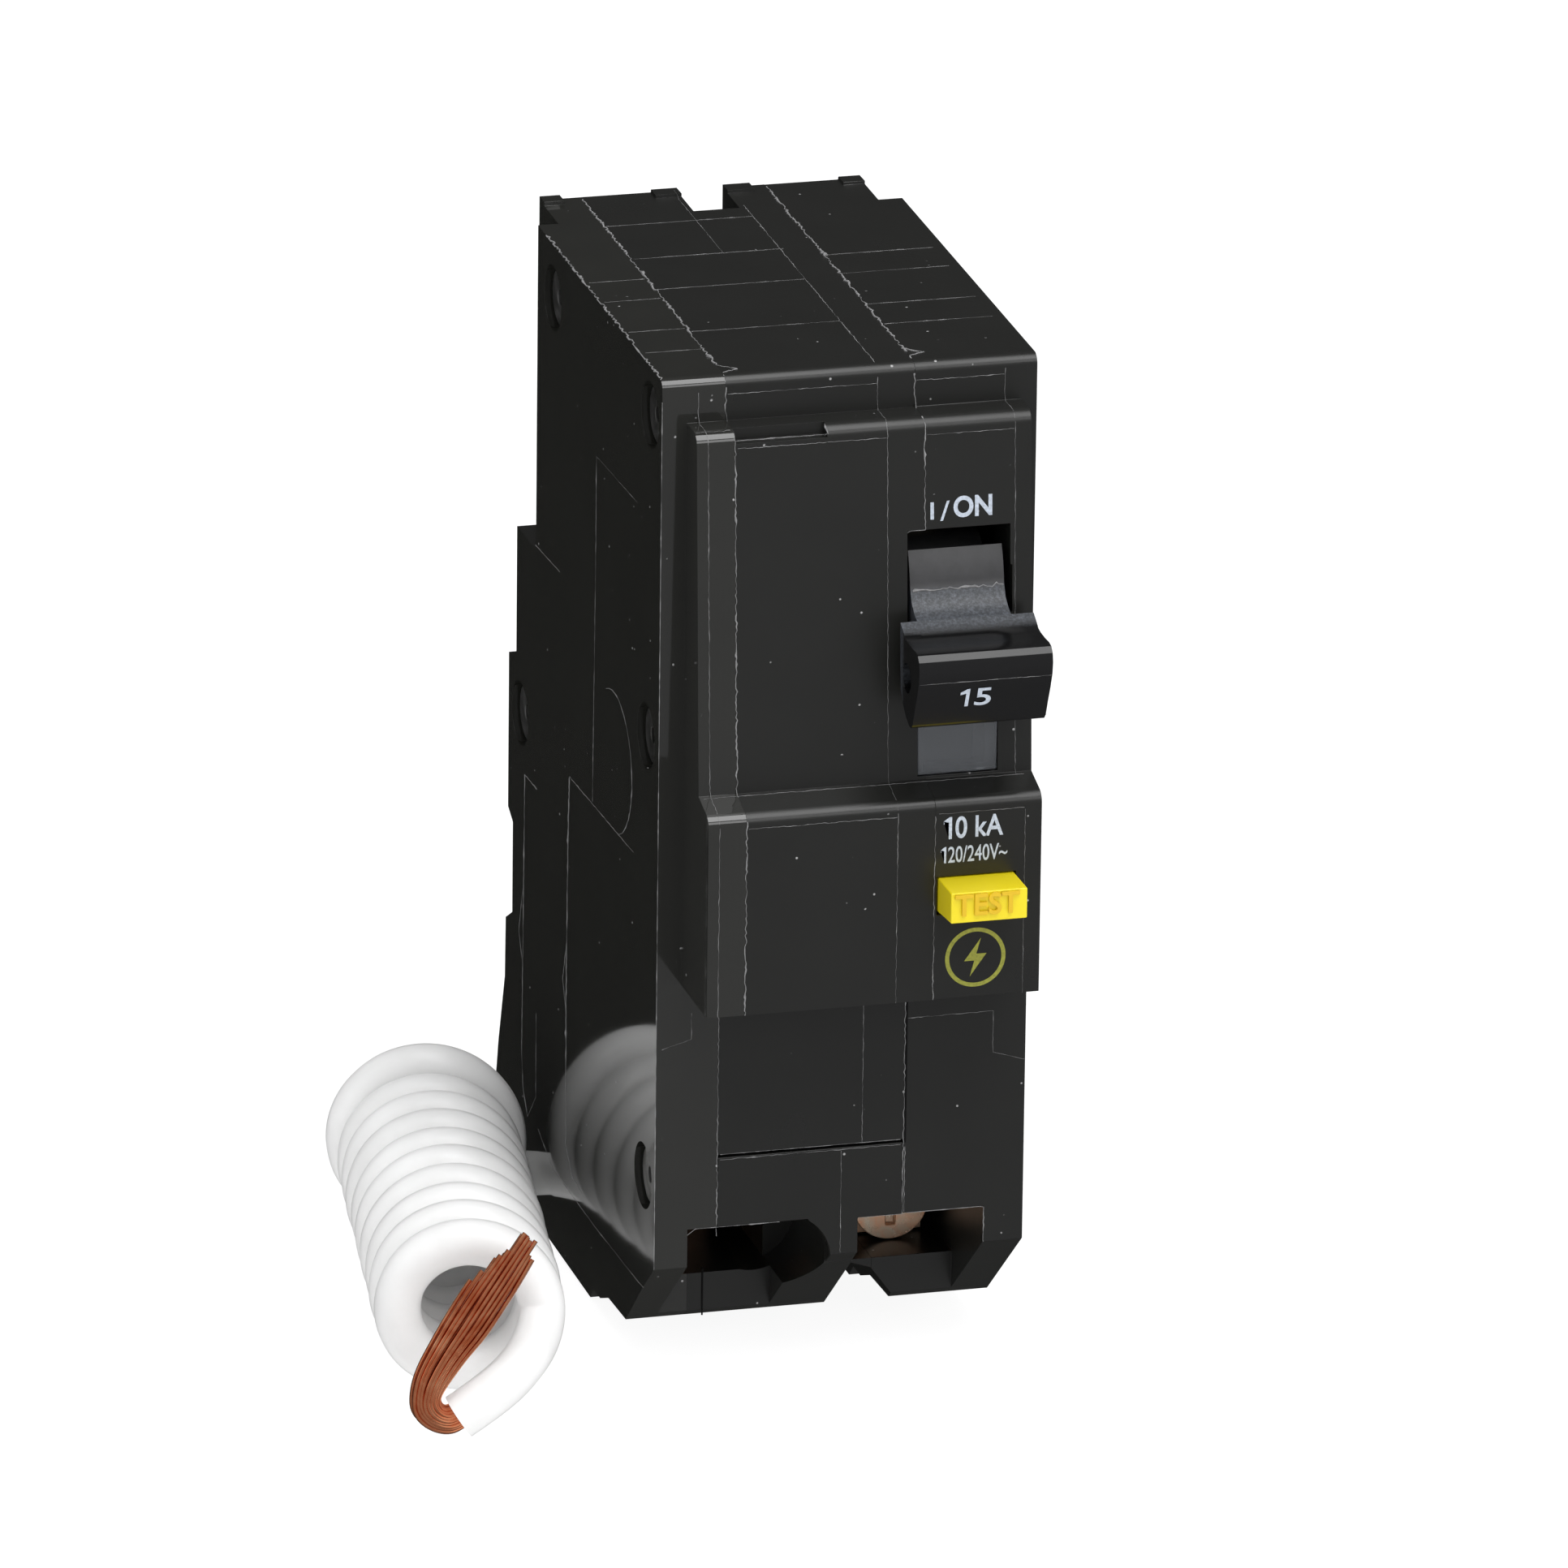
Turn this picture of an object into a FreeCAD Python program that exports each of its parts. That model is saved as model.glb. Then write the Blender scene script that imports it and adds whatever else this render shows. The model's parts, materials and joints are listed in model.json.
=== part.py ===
"""Two-pole plug-on ground-fault circuit breaker with a coiled neutral pigtail.

Everything is in millimetres.  The breaker stands on its load end: +Z points from the load
end up to the line end, the handle faces -Y, and the origin is on the floor under the middle
of the case.  Outlines are written in case coordinates: x from the left face, y behind the
front plane of the case and z from the top front edge (negative downwards).
"""
import FreeCAD, Part

import math
import os

import PartDesign
import Sketcher
from FreeCAD import Placement, Rotation, Vector

doc = FreeCAD.newDocument("gfci_breaker")
sheet = doc.addObject("Spreadsheet::Sheet", "dims")
pieces = []
row = 0


def size(alias, value):
    """Store one driving dimension in the sheet and return the expression that reads it."""
    global row
    row += 1
    sheet.set(f"A{row}", alias)
    sheet.set(f"B{row}", str(value))
    sheet.setAlias(f"B{row}", alias)
    return f"dims.{alias}"


# ---------------------------------------------------------------- driving dimensions
width = size("case_width", 38.1)
left_x = size("left_x", -19.05)
front_y = size("front_y", -24.8)
top_z = size("top_z", 106.2)
cover_w = size("cover_width", 6.4)
seam_2 = size("seam_two", 25.6)
depth = size("case_depth", 56.8)
back_rise = size("back_rise", 1.0)
wall = size("wall", 1.8)
web_left = size("web_left", 15.2)
web_right = size("web_right", 16.6)
plate_left = size("plate_left", 2.5)
plate_right = size("plate_right", 36.5)
plate_top = size("plate_top", 4.5)
upper_reach = size("upper_reach", 3.8)
upper_lean = size("upper_lean", 5.9)
lower_reach = size("lower_reach", 9.8)
ledge_back = size("ledge_back", 41.2)
ledge_front = size("ledge_front", 42.3)
plate_foot = size("plate_foot", 63.0)
gap_z = size("insert_top", 81.3)
gap = size("insert_gap", 0.35)
chamfer_z = size("chamfer_z", 93.0)
foot_y = size("front_foot_y", 12.2)
foot_z = size("front_foot_z", 102.95)
sill_y = size("sill_depth", 11.2)
edge_r = size("edge_radius", 1.1)
plate_r = size("plate_radius", 1.3)
bore_r = size("rivet_bore", 1.65)
bore_sink = size("rivet_sink", 3.4)
sink_deep = size("sink_depth", 1.5)
boss_r = size("rivet_boss", 4.3)
pivot_y = size("handle_pivot_y", 6.0)
pivot_z = size("handle_pivot_z", -23.0)
rotor_r = size("rotor_radius", 10.4)
pin_r = size("handle_pin_radius", 1.5)
arm_y = size("arm_pivot_y", 18.0)
arm_z = size("arm_pivot_z", -40.0)
arm_pin_r = size("arm_pin_radius", 1.2)
arm_open = size("arm_open_angle", 14.4)
run = size("running_clearance", 0.06)
pole_b = size("pole_b_x", 9.6)
pole_a = size("pole_a_x", 29.2)
wire_d = size("pigtail_diameter", 4.7)
coil_d = size("coil_diameter", 19.0)
coil_hole = size("coil_hole", 9.6)
doc.recompute()

POLES = {"a": pole_a, "b": pole_b}
RIVETS = [(43.0, -4.9), (4.6, -4.9), (55.1, -53.0), (5.1, -38.4), (4.6, -84.6)]


def number(expression):
    """The present value of an expression over the sheet."""
    return float(sheet.evalExpression(str(expression)))


def x_of(x):
    return f"{left_x} + ({x})"


def y_of(y):
    return f"{front_y} + ({y})"


def z_of(z):
    return f"{top_z} + ({z})"


def place(obj, x, y, z, rotation=Rotation()):
    """Put an object at case coordinates, bound to the sheet."""
    obj.Placement = Placement(Vector(), rotation)
    for axis, expression in zip("xyz", (x_of(x), y_of(y), z_of(z))):
        obj.setExpression(f"Placement.Base.{axis}", expression)


def block(name, xs, ys, zs):
    """A box between two case coordinates on each axis."""
    box = doc.addObject("Part::Box", name)
    for side, (low, high) in (("Length", xs), ("Width", ys), ("Height", zs)):
        box.setExpression(side, f"({high}) - ({low})")
    place(box, xs[0], ys[0], zs[0])
    return box


TURN = {
    "x": Rotation(Vector(0, 0, 1), Vector(1, 0, 0)),
    "y": Rotation(Vector(0, 0, 1), Vector(0, 1, 0)),
    "z": Rotation(),
}


def rod(name, axis, radius, centre, length):
    """A cylinder that starts at centre (case coordinates) and runs along +axis."""
    cylinder = doc.addObject("Part::Cylinder", name)
    cylinder.setExpression("Radius", str(radius))
    cylinder.setExpression("Height", str(length))
    place(cylinder, *centre, rotation=TURN[axis])
    return cylinder


def ring(name, axis, outer, inner, centre, length):
    """A tube that starts at centre and runs along +axis."""
    return cut(name, rod(f"{name}_outer", axis, outer, centre, length),
               rod(f"{name}_hole", axis, inner, centre, length))


SKETCH_PLANES = {"yz": ("YZ_Plane", y_of, z_of, x_of, 1),
                 "xy": ("XY_Plane", x_of, y_of, z_of, 1),
                 "xz": ("XZ_Plane", x_of, z_of, y_of, -1)}


def pad(name, plane, outline, start, end):
    """A body padded from a closed outline on an origin plane, between two offsets."""
    role, across, up, normal, sign = SKETCH_PLANES[plane]
    body = doc.addObject("PartDesign::Body", name)
    base = [feature for feature in body.Origin.OriginFeatures if feature.Role == role][0]
    sketch = body.newObject("Sketcher::SketchObject", f"{name}_outline")
    sketch.AttachmentSupport = (base, [""])
    sketch.MapMode = "FlatFace"
    offset = normal(start) if sign > 0 else f"-({normal(end)})"
    sketch.setExpression("AttachmentOffset.Base.z", offset)
    corners = [(across(a), up(b)) for a, b in outline]
    spots = [Vector(number(a), number(b), 0) for a, b in corners]
    count = len(corners)
    for i in range(count):
        sketch.addGeometry(Part.LineSegment(spots[i], spots[(i + 1) % count]))
    links = [Sketcher.Constraint("Coincident", i, 2, (i + 1) % count, 1) for i in range(count)]
    sketch.addConstraint(links)
    for i, (a, b) in enumerate(corners):
        for kind, value, expression in (("DistanceX", spots[i].x, a), ("DistanceY", spots[i].y, b)):
            index = sketch.addConstraint(Sketcher.Constraint(kind, -1, 1, i, 1, value))
            sketch.setExpression(f"Constraints[{index}]", expression)
    feature = body.newObject("PartDesign::Pad", f"{name}_pad")
    feature.Profile = sketch
    feature.setExpression("Length", f"({end}) - ({start})")
    return body


def fuse(name, parts):
    union = doc.addObject("Part::MultiFuse", name)
    union.Shapes = parts
    union.Refine = True
    return union


def together(name, parts):
    """Separate solids that share one node."""
    group = doc.addObject("Part::Compound", name)
    group.Links = parts
    return group


def cut(name, base, *tools):
    """base with the tools taken out of it."""
    result = doc.addObject("Part::Cut", name)
    result.Base = base
    result.Tool = tools[0] if len(tools) == 1 else fuse(f"{name}_tools", list(tools))
    result.Refine = True
    return result


def rounded(name, base, radius, chosen):
    """base with the edges that pass the test rounded."""
    doc.recompute()
    picked = [i + 1 for i, edge in enumerate(base.Shape.Edges) if chosen(edge)]
    fillet = doc.addObject("Part::Fillet", name)
    fillet.Base = base
    fillet.Edges = [(i, number(radius), number(radius)) for i in picked]
    return fillet


def along_x(edge, y, z):
    """Whether an edge runs along X at a case position."""
    ends = [vertex.Point for vertex in edge.Vertexes]
    flat = len(ends) == 2 and abs(ends[0].x - ends[1].x) > 1
    target = Vector(0, number(y_of(y)), number(z_of(z)))
    return flat and all(math.hypot(p.y - target.y, p.z - target.z) < 0.02 for p in ends)


def keep(node, obj):
    """Hand a finished piece in under its node name."""
    obj.Label = node
    pieces.append(obj)
    return obj


def solid(node, shape):
    """A piece whose shape is made by Part's own functions."""
    feature = doc.addObject("Part::Feature", node)
    feature.Shape = shape
    return keep(node, feature)


# ---------------------------------------------------------------- case outlines (y, z)
SIDE = [("0", f"-{chamfer_z}"), ("0", "0"), (depth, back_rise), (depth, "-47.0"),
        ("59.8", "-48.0"), ("59.8", "-64.7"), ("57.8", "-65.7"), ("57.8", "-75.5"),
        ("60.5", "-77.0"), ("60.7", "-83.5"), ("63.2", "-91.5"), ("64.1", "-95.4"),
        ("64.1", "-100.5"), ("59.0", f"-{top_z}"), ("27.0", f"-{top_z}"),
        ("25.4", "-104.7"), ("22.8", "-104.7"), ("19.2", "-103.3"), (foot_y, f"-{foot_z}")]
PLATE = [("1.0", f"-{plate_top}"), (f"-{upper_reach}", f"-{plate_top}"),
         (f"-{upper_lean}", f"-{ledge_back}"), (f"-{lower_reach}", f"-{ledge_front}"),
         (f"-{lower_reach}", f"-{plate_foot}"), ("1.0", f"-{plate_foot}")]
HOLLOW = [(wall, "-2.0"), ("55.0", "-1.4"), ("55.0", "-84.0"), ("60.4", "-94.0"),
          ("60.4", "-97.0"), ("57.0", "-94.0"), ("44.0", "-87.4"), (wall, "-87.4")]
POCKET = [("-7.9", "-44.2"), (wall, "-44.2"), (wall, "-61.2"), ("-7.9", "-61.2")]


def shell(name, start, end, plate_start, plate_end):
    """The outside of one case moulding, with its share of the front plate."""
    outer = pad(f"{name}_outer", "yz", SIDE, start, end)
    doc.recompute()
    outer = rounded(f"{name}_edge", outer, edge_r, lambda edge: along_x(edge, 0, 0))
    plate = pad(f"{name}_plate", "yz", PLATE, plate_start, plate_end)
    doc.recompute()
    corners = [(f"-{upper_reach}", f"-{plate_top}"), (f"-{lower_reach}", f"-{ledge_front}")]
    plate = rounded(f"{name}_plate_edge", plate, plate_r,
                    lambda edge: any(along_x(edge, y, z) for y, z in corners))
    return fuse(f"{name}_solid", [outer, plate])


def hollow(name, start, end):
    """The room inside one moulding, with the rivet bosses left standing."""
    room = pad(f"{name}_room", "yz", HOLLOW, start, end)
    bosses = [rod(f"{name}_boss_{i}", "x", boss_r, (start, y, z), f"({end}) - ({start})")
              for i, (y, z) in enumerate(RIVETS)]
    return cut(f"{name}_hollow", room, *bosses)


def rivet_holes(name):
    return [rod(f"{name}_rivet_{i}", "x", bore_r, ("-1", y, z), f"{width} + 2")
            for i, (y, z) in enumerate(RIVETS)]


def sinks(name, start):
    return [rod(f"{name}_sink_{i}", "x", bore_sink, (start, y, z), f"{sink_deep} + 1")
            for i, (y, z) in enumerate(RIVETS)]


# ---------------------------------------------------------------- cuts shared by the shells
def load_room(name):
    """The left wire terminal's room, open at the front and through the chamfer."""
    return [block(f"{name}_left_room", ("3.4", "13.4"), ("-1", "38"), ("-98.2", "-89.0")),
            block(f"{name}_left_slot", ("3.4", "15.0"), ("-1", sill_y), ("-110", "-89.1")),
            block(f"{name}_left_top", ("14.9", "15.9"), ("-1", "14"), ("-93", "-89.0")),
            cut(f"{name}_left_eye",
                rod(f"{name}_left_eye_rod", "y", "5.0", ("13.2", "-1", "-93.4"), "39"),
                block(f"{name}_left_eye_roof", ("7", "20"), ("-2", "60"), ("-89.0", "-86")),
                block(f"{name}_left_eye_web", ("15.0", "20"), ("14", "60"), ("-99", "-88")))]


def pin_holes(name):
    """Bearings for the handle, contact, cradle and trip-bar pins."""
    return [rod(f"{name}_handle_bearing", "x", f"{pin_r} + {run}",
                ("15.9", pivot_y, pivot_z), "21.3"),
            rod(f"{name}_arm_bearing", "x", f"{arm_pin_r} + {run}", ("0.9", arm_y, arm_z), "36.3"),
            rod(f"{name}_cradle_bearing", "x", f"1.0 + {run}", ("0.9", "34", "-28"), "36.3"),
            rod(f"{name}_trip_bearing", "x", f"1.4 + {run}", ("0.9", "31", "-70"), "36.3")]


bus_slots = {pole: block(f"bus_slot_{pole}", (f"{x} - 2.6", f"{x} + 2.6"), ("50", "60"),
                         ("-29", "-11"))
             for pole, x in POLES.items()}
handle_window = block("handle_window", ("23.8", "34.3"), ("-9", "3"), ("-35.0", "-15.8"))
rotor_room = rod("rotor_room", "x", f"{rotor_r} + 0.7", ("23.8", pivot_y, pivot_z), "10.7")
lens_seat = block("lens_seat", ("24.8", "33.0"), ("-9", "-4.2"), ("-40.9", "-35.0"))
flag_slot = block("flag_slot", ("25.9", "31.9"), ("-5", "0"), ("-40.3", "-35.6"))
flag_room = block("flag_room", ("25.7", "32.1"), ("-2.7", "0.7"), ("-47.2", "-34.5"))
button_hole = block("button_hole", ("25.85", "33.95"), ("-12", "2"), ("-54.15", "-50.15"))
cord_y = size("cord_exit_y", 53.4)
cord_z = size("cord_exit_z", -102.2)
cord_hole = rod("cord_hole", "x", f"{wire_d} / 2 + 0.45", ("-1", cord_y, cord_z), "5")
grommet_seat = rod("grommet_seat", "x", "3.2", ("2.8", cord_y, cord_z), "4.8")
cord_bore = rod("cord_bore", "x", f"{wire_d} / 2 + 0.05", ("6", cord_y, cord_z), "9")
WIDE = {"left": ("-1", cover_w), "centre": (cover_w, seam_2), "right": (seam_2, f"{width} + 1")}

# ---------------------------------------------------------------- left cover
left = cut("left_cover_cut",
           shell("left_cover_body", "0", cover_w, plate_left, cover_w),
           cut("left_cover_room", hollow("left_cover_in", wall, f"{cover_w} + 1"),
               block("left_recess_wall", ("0", "3.7"), ("47.3", "60"), ("-35.1", "3"))),
           pad("left_bevel", "xz", [("-1", "-97.0"), ("0", "-97.0"), ("0.6", "-107"),
                                    ("-1", "-107")], "-1", "70"),
           block("left_back_recess", ("-1", "2.1"), ("49.1", "60"), ("-33.5", "3")),
           cord_hole, grommet_seat, *sinks("left_cover", "-1"), *rivet_holes("left_cover"),
           *load_room("left_cover"), *pin_holes("left_cover"))
left_bump = block("left_bump", ("2.1", "4.2"), ("54.8", depth), ("0.5", f"{back_rise} + 0.4"))
keep("left_cover", fuse("left_cover_fuse", [left, left_bump]))

# ---------------------------------------------------------------- centre case
insert_cut = block("insert_cut", (cover_w, seam_2), ("-1", "1.9"), ("-120", f"-{gap_z}"))
right_room = block("right_room_centre", ("21.0", "34.0"), ("-1", "26"), ("-98.2", "-89.2"))
right_slot = block("right_slot_centre", ("21.0", "34.0"), ("-1", sill_y), ("-110", "-89.3"))
ARCH = [("21.0", "-110"), ("21.0", "-98.5"), ("23.4", "-98.5"), ("25.5", "-99.2"),
        ("27.7", "-102.2"), ("27.7", "-110")]
wire_arch = pad("wire_arch", "xz", ARCH, "9", "40")
left_zone = hollow("centre_left_in", f"{cover_w} - 1", web_left)
right_zone = cut("centre_right_zone", hollow("centre_right_in", web_right, f"{seam_2} + 1"),
                 block("notch_wall", ("14", "23.0"), ("48.3", "60"), ("-35.1", "3")))
left_pocket = pad("centre_left_pocket", "yz", POCKET, "8.2", web_left)
right_pocket = pad("centre_right_pocket", "yz", POCKET, web_right, f"{seam_2} + 1")
centre = cut("centre_case_cut",
             shell("centre_body", cover_w, seam_2, cover_w, seam_2),
             left_zone, right_zone, left_pocket, right_pocket, insert_cut,
             right_room, right_slot, wire_arch, bus_slots["b"],
             block("top_notch", ("16.4", "21.2"), ("50.1", "60"), ("-33.5", "3")),
             block("plate_relief", (cover_w, "15.7"), ("-5", "-2.5"), ("-5.7", "-4")),
             handle_window, rotor_room, lens_seat, flag_slot, flag_room, grommet_seat, cord_bore,
             rod("lead_hole", "x", "5.4", ("14", "43", "-72.5"), "4"),
             rod("lead_hole_low", "x", "1.9", ("14", "41", "-85.9"), "4"),
             rod("trip_hole", "x", "1.9", ("14", "31", "-70"), "4"),
             rod("roof_hole_left", "z", "1.6", (pole_b, "36.4", "-90"), "4"),
             *rivet_holes("centre"), *load_room("centre"), *pin_holes("centre"))
bumps = [block(f"centre_bump_{i}", xs, ("54.8", depth), ("0.5", f"{back_rise} + 0.3"))
         for i, xs in enumerate([("13.7", "16.4"), ("21.2", "24.0")])]
keep("centre_case", fuse("centre_case_fuse", [centre, *bumps]))

# ---------------------------------------------------------------- right cover
right = cut("right_cover_cut",
            shell("right_cover_body", seam_2, width, seam_2, plate_right),
            cut("right_cover_room",
                hollow("right_cover_in", f"{seam_2} - 1", f"{width} - {wall}"),
                block("right_recess_wall", ("34.0", "40"), ("48.0", "60"), ("-35.1", "3"))),
            pad("right_pocket", "yz", POCKET, f"{seam_2} - 1", "34.8"),
            block("right_back_recess", ("35.6", "40"), ("49.7", "60"), ("-33.5", "3")),
            block("right_room_cover", ("21.0", "34.0"), ("-1", "26"), ("-98.2", "-89.2")),
            block("right_slot_cover", ("21.0", "34.0"), ("-1", sill_y), ("-110", "-89.3")),
            pad("wire_arch_right", "xz", ARCH, "9", "40"),
            bus_slots["a"], handle_window, rotor_room, lens_seat, flag_slot, flag_room,
            button_hole, rod("roof_hole_right", "z", "1.6", (pole_a, "23.4", "-90"), "4"),
            *sinks("right_cover", f"{width} - {sink_deep}"),
            *rivet_holes("right_cover"), *pin_holes("right_cover"))
right_bump = block("right_bump", ("33.3", "35.6"), ("54.8", depth), ("0.5", f"{back_rise} + 0.3"))
keep("right_cover", fuse("right_cover_fuse", [right, right_bump]))

# ---------------------------------------------------------------- terminal insert
insert_body = pad("insert_body", "yz",
                  [("0", f"-{chamfer_z}"), ("0", f"-({gap_z} + {gap})"),
                   ("1.7", f"-({gap_z} + {gap})"), ("1.7", "-89.3"), ("1.7", "-94.38")],
                  f"{cover_w} + 0.05", f"{seam_2} - 0.05")
keep("terminal_insert",
     cut("terminal_insert_cut", insert_body, *load_room("insert"),
         block("insert_right_slot", ("21.0", "34.0"), ("-1", sill_y), ("-110", "-89.3"))))

# ---------------------------------------------------------------- rivets
rivet_parts = []
for i, (y, z) in enumerate(RIVETS):
    span = ring(f"rivet_{i}", "x", f"{bore_r} - 0.05", "0.8", (f"{sink_deep} - 0.8", y, z),
                f"{width} - 2 * ({sink_deep} - 0.8)")
    for side, x in (("left", f"{sink_deep} - 0.8"), ("right", f"{width} - {sink_deep}")):
        rivet_parts.append(ring(f"rivet_{i}_{side}", "x", "2.9", "0.8", (x, y, z), "0.8"))
    rivet_parts.append(span)
keep("rivets", fuse("rivet_group", rivet_parts))

# ---------------------------------------------------------------- handle (rest = OFF, down)
PADDLE = [("-7.0", "-24.3"), ("-8.2", "-24.95"), ("-8.8", "-25.35"), ("-9.7", "-25.5"),
          ("-11.2", "-25.55"), ("-12.6", "-25.5"), ("-13.4", "-25.65"), ("-13.95", "-26.2"),
          ("-14.15", "-27.1"), ("-14.0", "-28.3"), ("-13.4", "-29.9"), ("-12.6", "-31.6"),
          ("-11.9", "-33.3"), ("-11.4", "-33.8"), ("-10.6", "-33.8"), ("-9.4", "-33.2"),
          ("-8.3", "-32.3"), ("-7.5", "-31.0"), ("-7.2", "-28.5")]
WEB = [("-3.2", "-19.5"), ("-4.3", "-21.8"), ("-5.0", "-23.2"), ("-6.0", "-23.9"),
       ("-7.0", "-24.3"), ("-9.0", "-25.4"), ("-9.0", "-27.2"), ("-7.6", "-28.6"),
       ("-3.6", "-28.4"), ("0", "-27.0"), ("2", "-22.0")]
rotor = doc.addObject("Part::Cylinder", "rotor_sector")
rotor.setExpression("Radius", rotor_r)
rotor.Angle = 107
rotor.Height = 9.6
rotor_start = Rotation(Vector(1, 0, 0), 152.5).multiply(
    Rotation(Vector(0, 1, 0), Vector(0, 0, 1), Vector(1, 0, 0), "ZXY"))
place(rotor, "24.2", pivot_y, pivot_z, rotation=rotor_start)
handle_solid = fuse("handle_solid", [
    pad("handle_paddle", "yz", PADDLE, "22.5", "36.1"),
    pad("handle_web", "yz", WEB, "24.2", "33.8"), rotor,
    rod("handle_hub", "x", "3.4", ("24.2", pivot_y, pivot_z), "9.6")])
keep("handle", cut("handle_cut", handle_solid,
                   rod("handle_bore", "x", f"{pin_r} + {run}", ("20", pivot_y, pivot_z), "20"),
                   rod("tie_hole", "x", "1.5", ("21.5", "-9.6", "-29.2"), "7.0")))
keep("handle_pin", rod("handle_pin_rod", "x", pin_r, ("16.0", pivot_y, pivot_z), "21.1"))

# ---------------------------------------------------------------- lens, flag and test button
keep("indicator_lens", block("lens", ("24.85", "32.95"), ("-5.75", "-4.3"), ("-40.85", "-35.05")))
keep("trip_flag", fuse("trip_flag_solid", [
    block("flag_face", ("26.2", "31.6"), ("-2.4", "-1.4"), ("-46.8", "-42.0")),
    block("flag_tab", ("28.0", "30.0"), ("-1.5", "0.3"), ("-46.8", "-45.4"))]))
BUTTON = [("-14.5", "-50.25"), ("-14.5", "-53.4"), ("-9.0", "-53.9"), ("-2", "-53.9"),
          ("-2", "-50.3"), ("-9.0", "-50.3")]
keep("test_button", fuse("test_button_solid", [
    pad("button_cap", "yz", BUTTON, "26.0", "33.8"),
    block("button_flange", ("26.3", "33.5"), ("-7.8", "-6.4"), ("-55.6", "-48.7")),
    block("button_stem", ("28.6", "31.2"), ("-1", "4.0"), ("-53.4", "-50.9"))]))
CONTACT_SPRING = [("5.6", "-47.0"), ("6.2", "-47.0"), ("6.2", "-57.0"), ("10.0", "-60.2"),
                  ("9.6", "-60.7"), ("5.6", "-57.3")]
keep("test_contact_spring", pad("test_spring", "yz", CONTACT_SPRING, "28.4", "31.4"))

# ---------------------------------------------------------------- line side, for each pole
JAW = [(-3.0, 43.6), (3.0, 43.6), (3.0, 50.0), (1.8, 53.2), (2.3, 55.0), (1.5, 55.0),
       (1.0, 53.1), (2.2, 49.8), (2.2, 44.4), (-2.2, 44.4), (-2.2, 49.8), (-1.0, 53.1),
       (-1.5, 55.0), (-2.3, 55.0), (-1.8, 53.2), (-3.0, 50.0)]
CLIP = [(-3.7, 43.0), (-3.0, 43.0), (-3.0, 43.5), (-3.15, 50.0), (-2.0, 53.1), (-2.6, 53.5),
        (-3.8, 50.1)]
for pole, x in POLES.items():
    jaw_outline = [(f"{x} + ({a})", str(b)) for a, b in JAW]
    keep(f"line_jaw_{pole}", pad(f"jaw_{pole}", "xy", jaw_outline, "-28", "-12"))
    spring = [pad(f"clip_{pole}_{side}", "xy", [(f"{x} + ({a * side})", str(b)) for a, b in CLIP],
                  "-22", "-18") for side in (1, -1)]
    spring.append(block(f"clip_{pole}_back", (f"{x} - 3.7", f"{x} + 3.7"), ("42.4", "43.0"),
                        ("-22", "-18")))
    keep(f"jaw_spring_{pole}", fuse(f"jaw_spring_solid_{pole}", spring))
    strap = [block(f"strap_{pole}_leg", (f"{x} - 2.5", f"{x} + 2.5"), ("21.6", "23.2"),
                   ("-17.6", "-11.5")),
             block(f"strap_{pole}_run", (f"{x} - 2.5", f"{x} + 2.5"), ("22", "43.55"),
                   ("-13.1", "-11.5")),
             block(f"strap_{pole}_end", (f"{x} - 2.5", f"{x} + 2.5"), ("42.0", "43.55"),
                   ("-17.2", "-11.5"))]
    keep(f"line_strap_{pole}", fuse(f"line_strap_solid_{pole}", strap))
    keep(f"fixed_contact_{pole}", rod(f"fixed_tip_{pole}", "y", "2.2", (x, "20.4", "-15"), "1.2"))
    plates = [block(f"arc_plate_{pole}_{i}", (f"{x} - 4.4", f"{x} + 4.4"),
                    (str(9.8 + 2.2 * i), str(10.6 + 2.2 * i)), ("-10.6", "-3.2"))
              for i in range(5)]
    keep(f"arc_plates_{pole}", together(f"arc_stack_{pole}", plates))

# ---------------------------------------------------------------- moving contacts, tilted open
ARM = [("16.9", "-45.5"), ("19.1", "-45.5"), ("19.1", "-12.2"), ("16.9", "-12.2")]


def tilted(node, shape):
    """Hand in a piece drawn at the closed position, turned open about the arm pivot."""
    pivot = Vector(0, number(y_of(arm_y)), number(z_of(arm_z)))
    turned = shape.copy()
    turned.rotate(pivot, Vector(1, 0, 0), number(arm_open))
    return solid(node, turned)


for pole, x in POLES.items():
    bar = fuse(f"arm_bar_{pole}", [
        pad(f"arm_flat_{pole}", "yz", ARM, f"{x} - 1.5", f"{x} + 1.5"),
        rod(f"arm_boss_{pole}", "x", "3.0", (f"{x} - 1.9", arm_y, arm_z), "3.8")])
    arm = cut(f"arm_shape_{pole}", bar,
              rod(f"arm_bore_{pole}", "x", f"{arm_pin_r} + {run}", (f"{x} - 4", arm_y, arm_z), "8"))
    tip = rod(f"arm_tip_{pole}", "y", "2.0", (x, "19.1", "-15"), "1.2")
    doc.recompute()
    tilted(f"contact_arm_{pole}", arm.Shape)
    tilted(f"moving_contact_{pole}", tip.Shape)
    coil = ring(f"toggle_shape_{pole}", "y", "1.5", "0.9", (x, "21.0", "-44.6"), "6.5")
    keep(f"toggle_spring_{pole}", coil)
keep("contact_pin", rod("contact_pin_rod", "x", arm_pin_r, ("1.0", arm_y, arm_z), "36.1"))

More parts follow.
